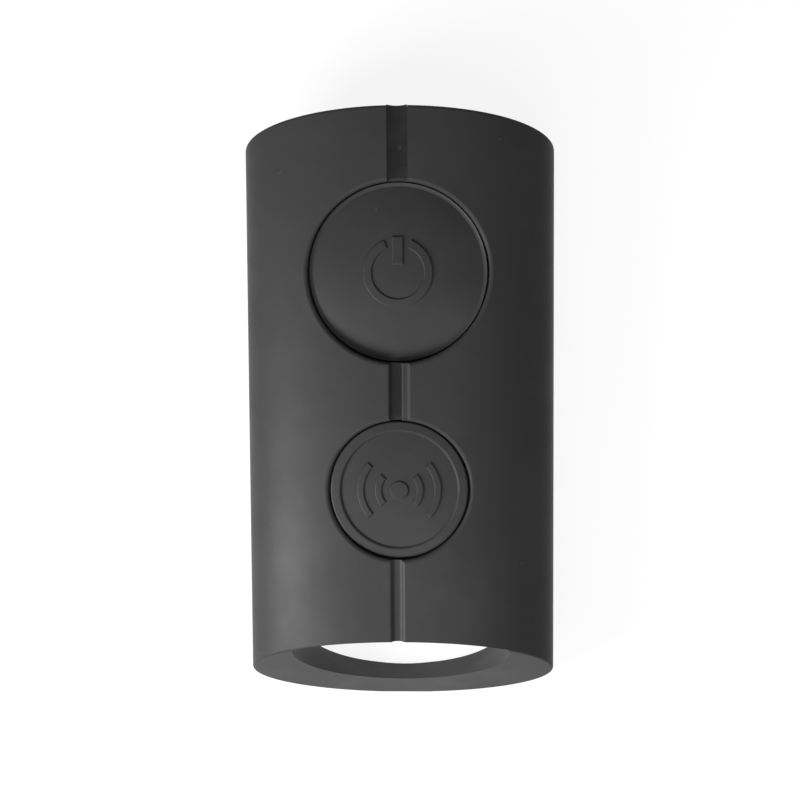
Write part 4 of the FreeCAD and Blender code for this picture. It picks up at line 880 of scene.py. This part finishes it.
LENS_COLOUR = (0.014, 0.014, 0.0145, 1)
LENS_RUBBED = (0.018, 0.018, 0.0185, 1)
PIPE_GLOW = (0.030, 0.030, 0.029, 1)
PIPE_END = (0.0003, 0.03154, 0.01563)
PIPE_SPOT = 0.00038
LENS_GRAIN = 0.0006
LENS_WEAR = 0.004
LENS_ROUGHNESS = (0.26, 0.36)
LENS_GRAIN_DEPTH = 0.000001

lens_plastic, tree, surface = new_material("lens_plastic", roughness=0.3)
texture = place_group(tree, moulded_grain, Grain=1 / LENS_GRAIN, Wear=1 / LENS_WEAR,
                      Specks=1 / DUST_SPACING)
from_pipe = add_node(tree, "ShaderNodeVectorMath", {0: object_place(tree), 1: PIPE_END},
                     operation="DISTANCE").outputs["Value"]
smoked = mix_colour(tree, texture["Rubbed"], LENS_COLOUR, LENS_RUBBED)
glow = remap(tree, from_pipe, PIPE_SPOT, PIPE_SPOT / 3)
tree.links.new(mix_colour(tree, glow, smoked, PIPE_GLOW), surface["Base Color"])
tree.links.new(remap(tree, texture["Rubbed"], 0.0, 1.0, *LENS_ROUGHNESS), surface["Roughness"])
set_bump(tree, surface, texture["Height"], LENS_GRAIN_DEPTH)
surface["Specular IOR Level"].default_value = 0.35
finish_node(lens_plastic, "indicator_lens")


# The studio: a plain pale floor that curves up into a wall all round, white to the camera, with
# the soft shadow of the fob on it, under an even pale sky. The main soft light stands close by at
# the left, a weaker one beyond the ring loop, and another overhead.

FLOOR_RADIUS = 2.0
WALL_HEIGHT = 1.6
WALL_BEND = 0.6
WALL_BEND_STEPS = 8
WALL_STEPS = 48
FLOOR_COLOUR = (0.18, 0.18, 0.18, 1)
FLOOR_LIFT = 0.88
SKY_STRENGTH = 0.25
FOB_MIDDLE = (0, 0, 0.008)

bm = bmesh.new()
outline = [bm.verts.new((0, 0, 0)), bm.verts.new((FLOOR_RADIUS, 0, 0))]
for step in range(1, WALL_BEND_STEPS + 1):
    angle = math.radians(90) * step / WALL_BEND_STEPS
    place = (FLOOR_RADIUS + WALL_BEND * math.sin(angle), 0, WALL_BEND * (1 - math.cos(angle)))
    outline.append(bm.verts.new(place))
outline.append(bm.verts.new((FLOOR_RADIUS + WALL_BEND, 0, WALL_HEIGHT)))
edges = [bm.edges.new(pair) for pair in zip(outline, outline[1:])]
bmesh.ops.spin(bm, geom=outline + edges, cent=(0, 0, 0), axis=(0, 0, 1), angle=math.radians(360),
               steps=WALL_STEPS, use_merge=True)
bmesh.ops.remove_doubles(bm, verts=bm.verts, dist=MERGE_REACH)
bmesh.ops.recalc_face_normals(bm, faces=bm.faces)
floor_mesh = bpy.data.meshes.new("floor")
bm.to_mesh(floor_mesh)
bm.free()
floor = bpy.data.objects.new("floor", floor_mesh)
bpy.context.scene.collection.objects.link(floor)

floor_paper, tree, surface = new_material("floor_paper", roughness=0.9)
surface["Base Color"].default_value = FLOOR_COLOUR
surface["Specular IOR Level"].default_value = 0.0
surface["Emission Color"].default_value = (1, 1, 1, 1)
path = add_node(tree, "ShaderNodeLightPath").outputs
looks = maths(tree, "MAXIMUM", path["Is Camera Ray"], path["Is Glossy Ray"])
looks = maths(tree, "MAXIMUM", looks, path["Is Transmission Ray"])
tree.links.new(maths(tree, "MULTIPLY", looks, FLOOR_LIFT), surface["Emission Strength"])
floor_mesh.materials.append(floor_paper)

scene = bpy.context.scene
studio = bpy.data.worlds.new("studio")
studio.use_nodes = True
scene.world = studio
air = studio.node_tree.nodes["Background"]
air.inputs["Color"].default_value = (1, 1, 1, 1)
air.inputs["Strength"].default_value = SKY_STRENGTH


def soft_light(name, place, side, watts):
    """A square soft box that faces the fob, and which no camera sees."""
    lamp = bpy.data.lights.new(name, "AREA")
    lamp.shape = "SQUARE"
    lamp.size = side
    lamp.energy = watts
    holder = bpy.data.objects.new(name, lamp)
    holder.location = place
    holder.rotation_euler = (Vector(FOB_MIDDLE) - Vector(place)).to_track_quat("-Z", "Y").to_euler()
    holder.visible_camera = False
    scene.collection.objects.link(holder)


soft_light("left_light", (-0.100, -0.045, 0.080), side=0.06, watts=0.218)
soft_light("loop_light", (-0.060, -0.150, 0.170), side=0.10, watts=0.110)
soft_light("upper_light", (0.040, -0.090, 0.210), side=0.12, watts=0.138)


# The camera looks down on the fob from above its upper half, a little to the right of its middle.

CAMERA_REACH = 0.21874
CAMERA_LEAN = math.radians(5.481)
CAMERA_SIDE = math.radians(2.146)
CAMERA_ROLL = math.radians(-0.362)
CAMERA_AIM = Vector((0, -0.000038, 0.00788))
PICTURE_WIDTH = 800
FOCAL_PIXELS = 1799.2
PICTURE_MIDDLE = (401.10, 413.24)

lens = bpy.data.cameras.new("camera")
lens.sensor_width = 36.0
lens.lens = FOCAL_PIXELS / PICTURE_WIDTH * lens.sensor_width
lens.shift_x = (PICTURE_WIDTH / 2 - PICTURE_MIDDLE[0]) / PICTURE_WIDTH
lens.shift_y = (PICTURE_MIDDLE[1] - PICTURE_WIDTH / 2) / PICTURE_WIDTH
lens.clip_start = 0.01
camera = bpy.data.objects.new("camera", lens)
scene.collection.objects.link(camera)
turn = (Matrix.Rotation(CAMERA_SIDE, 4, "Y") @ Matrix.Rotation(-CAMERA_LEAN, 4, "X")
        @ Matrix.Rotation(CAMERA_ROLL, 4, "Z"))
camera.matrix_world = Matrix.Translation(CAMERA_AIM) @ turn @ Matrix.Translation((0, 0, CAMERA_REACH))
scene.camera = camera

scene.view_settings.view_transform = "Standard"
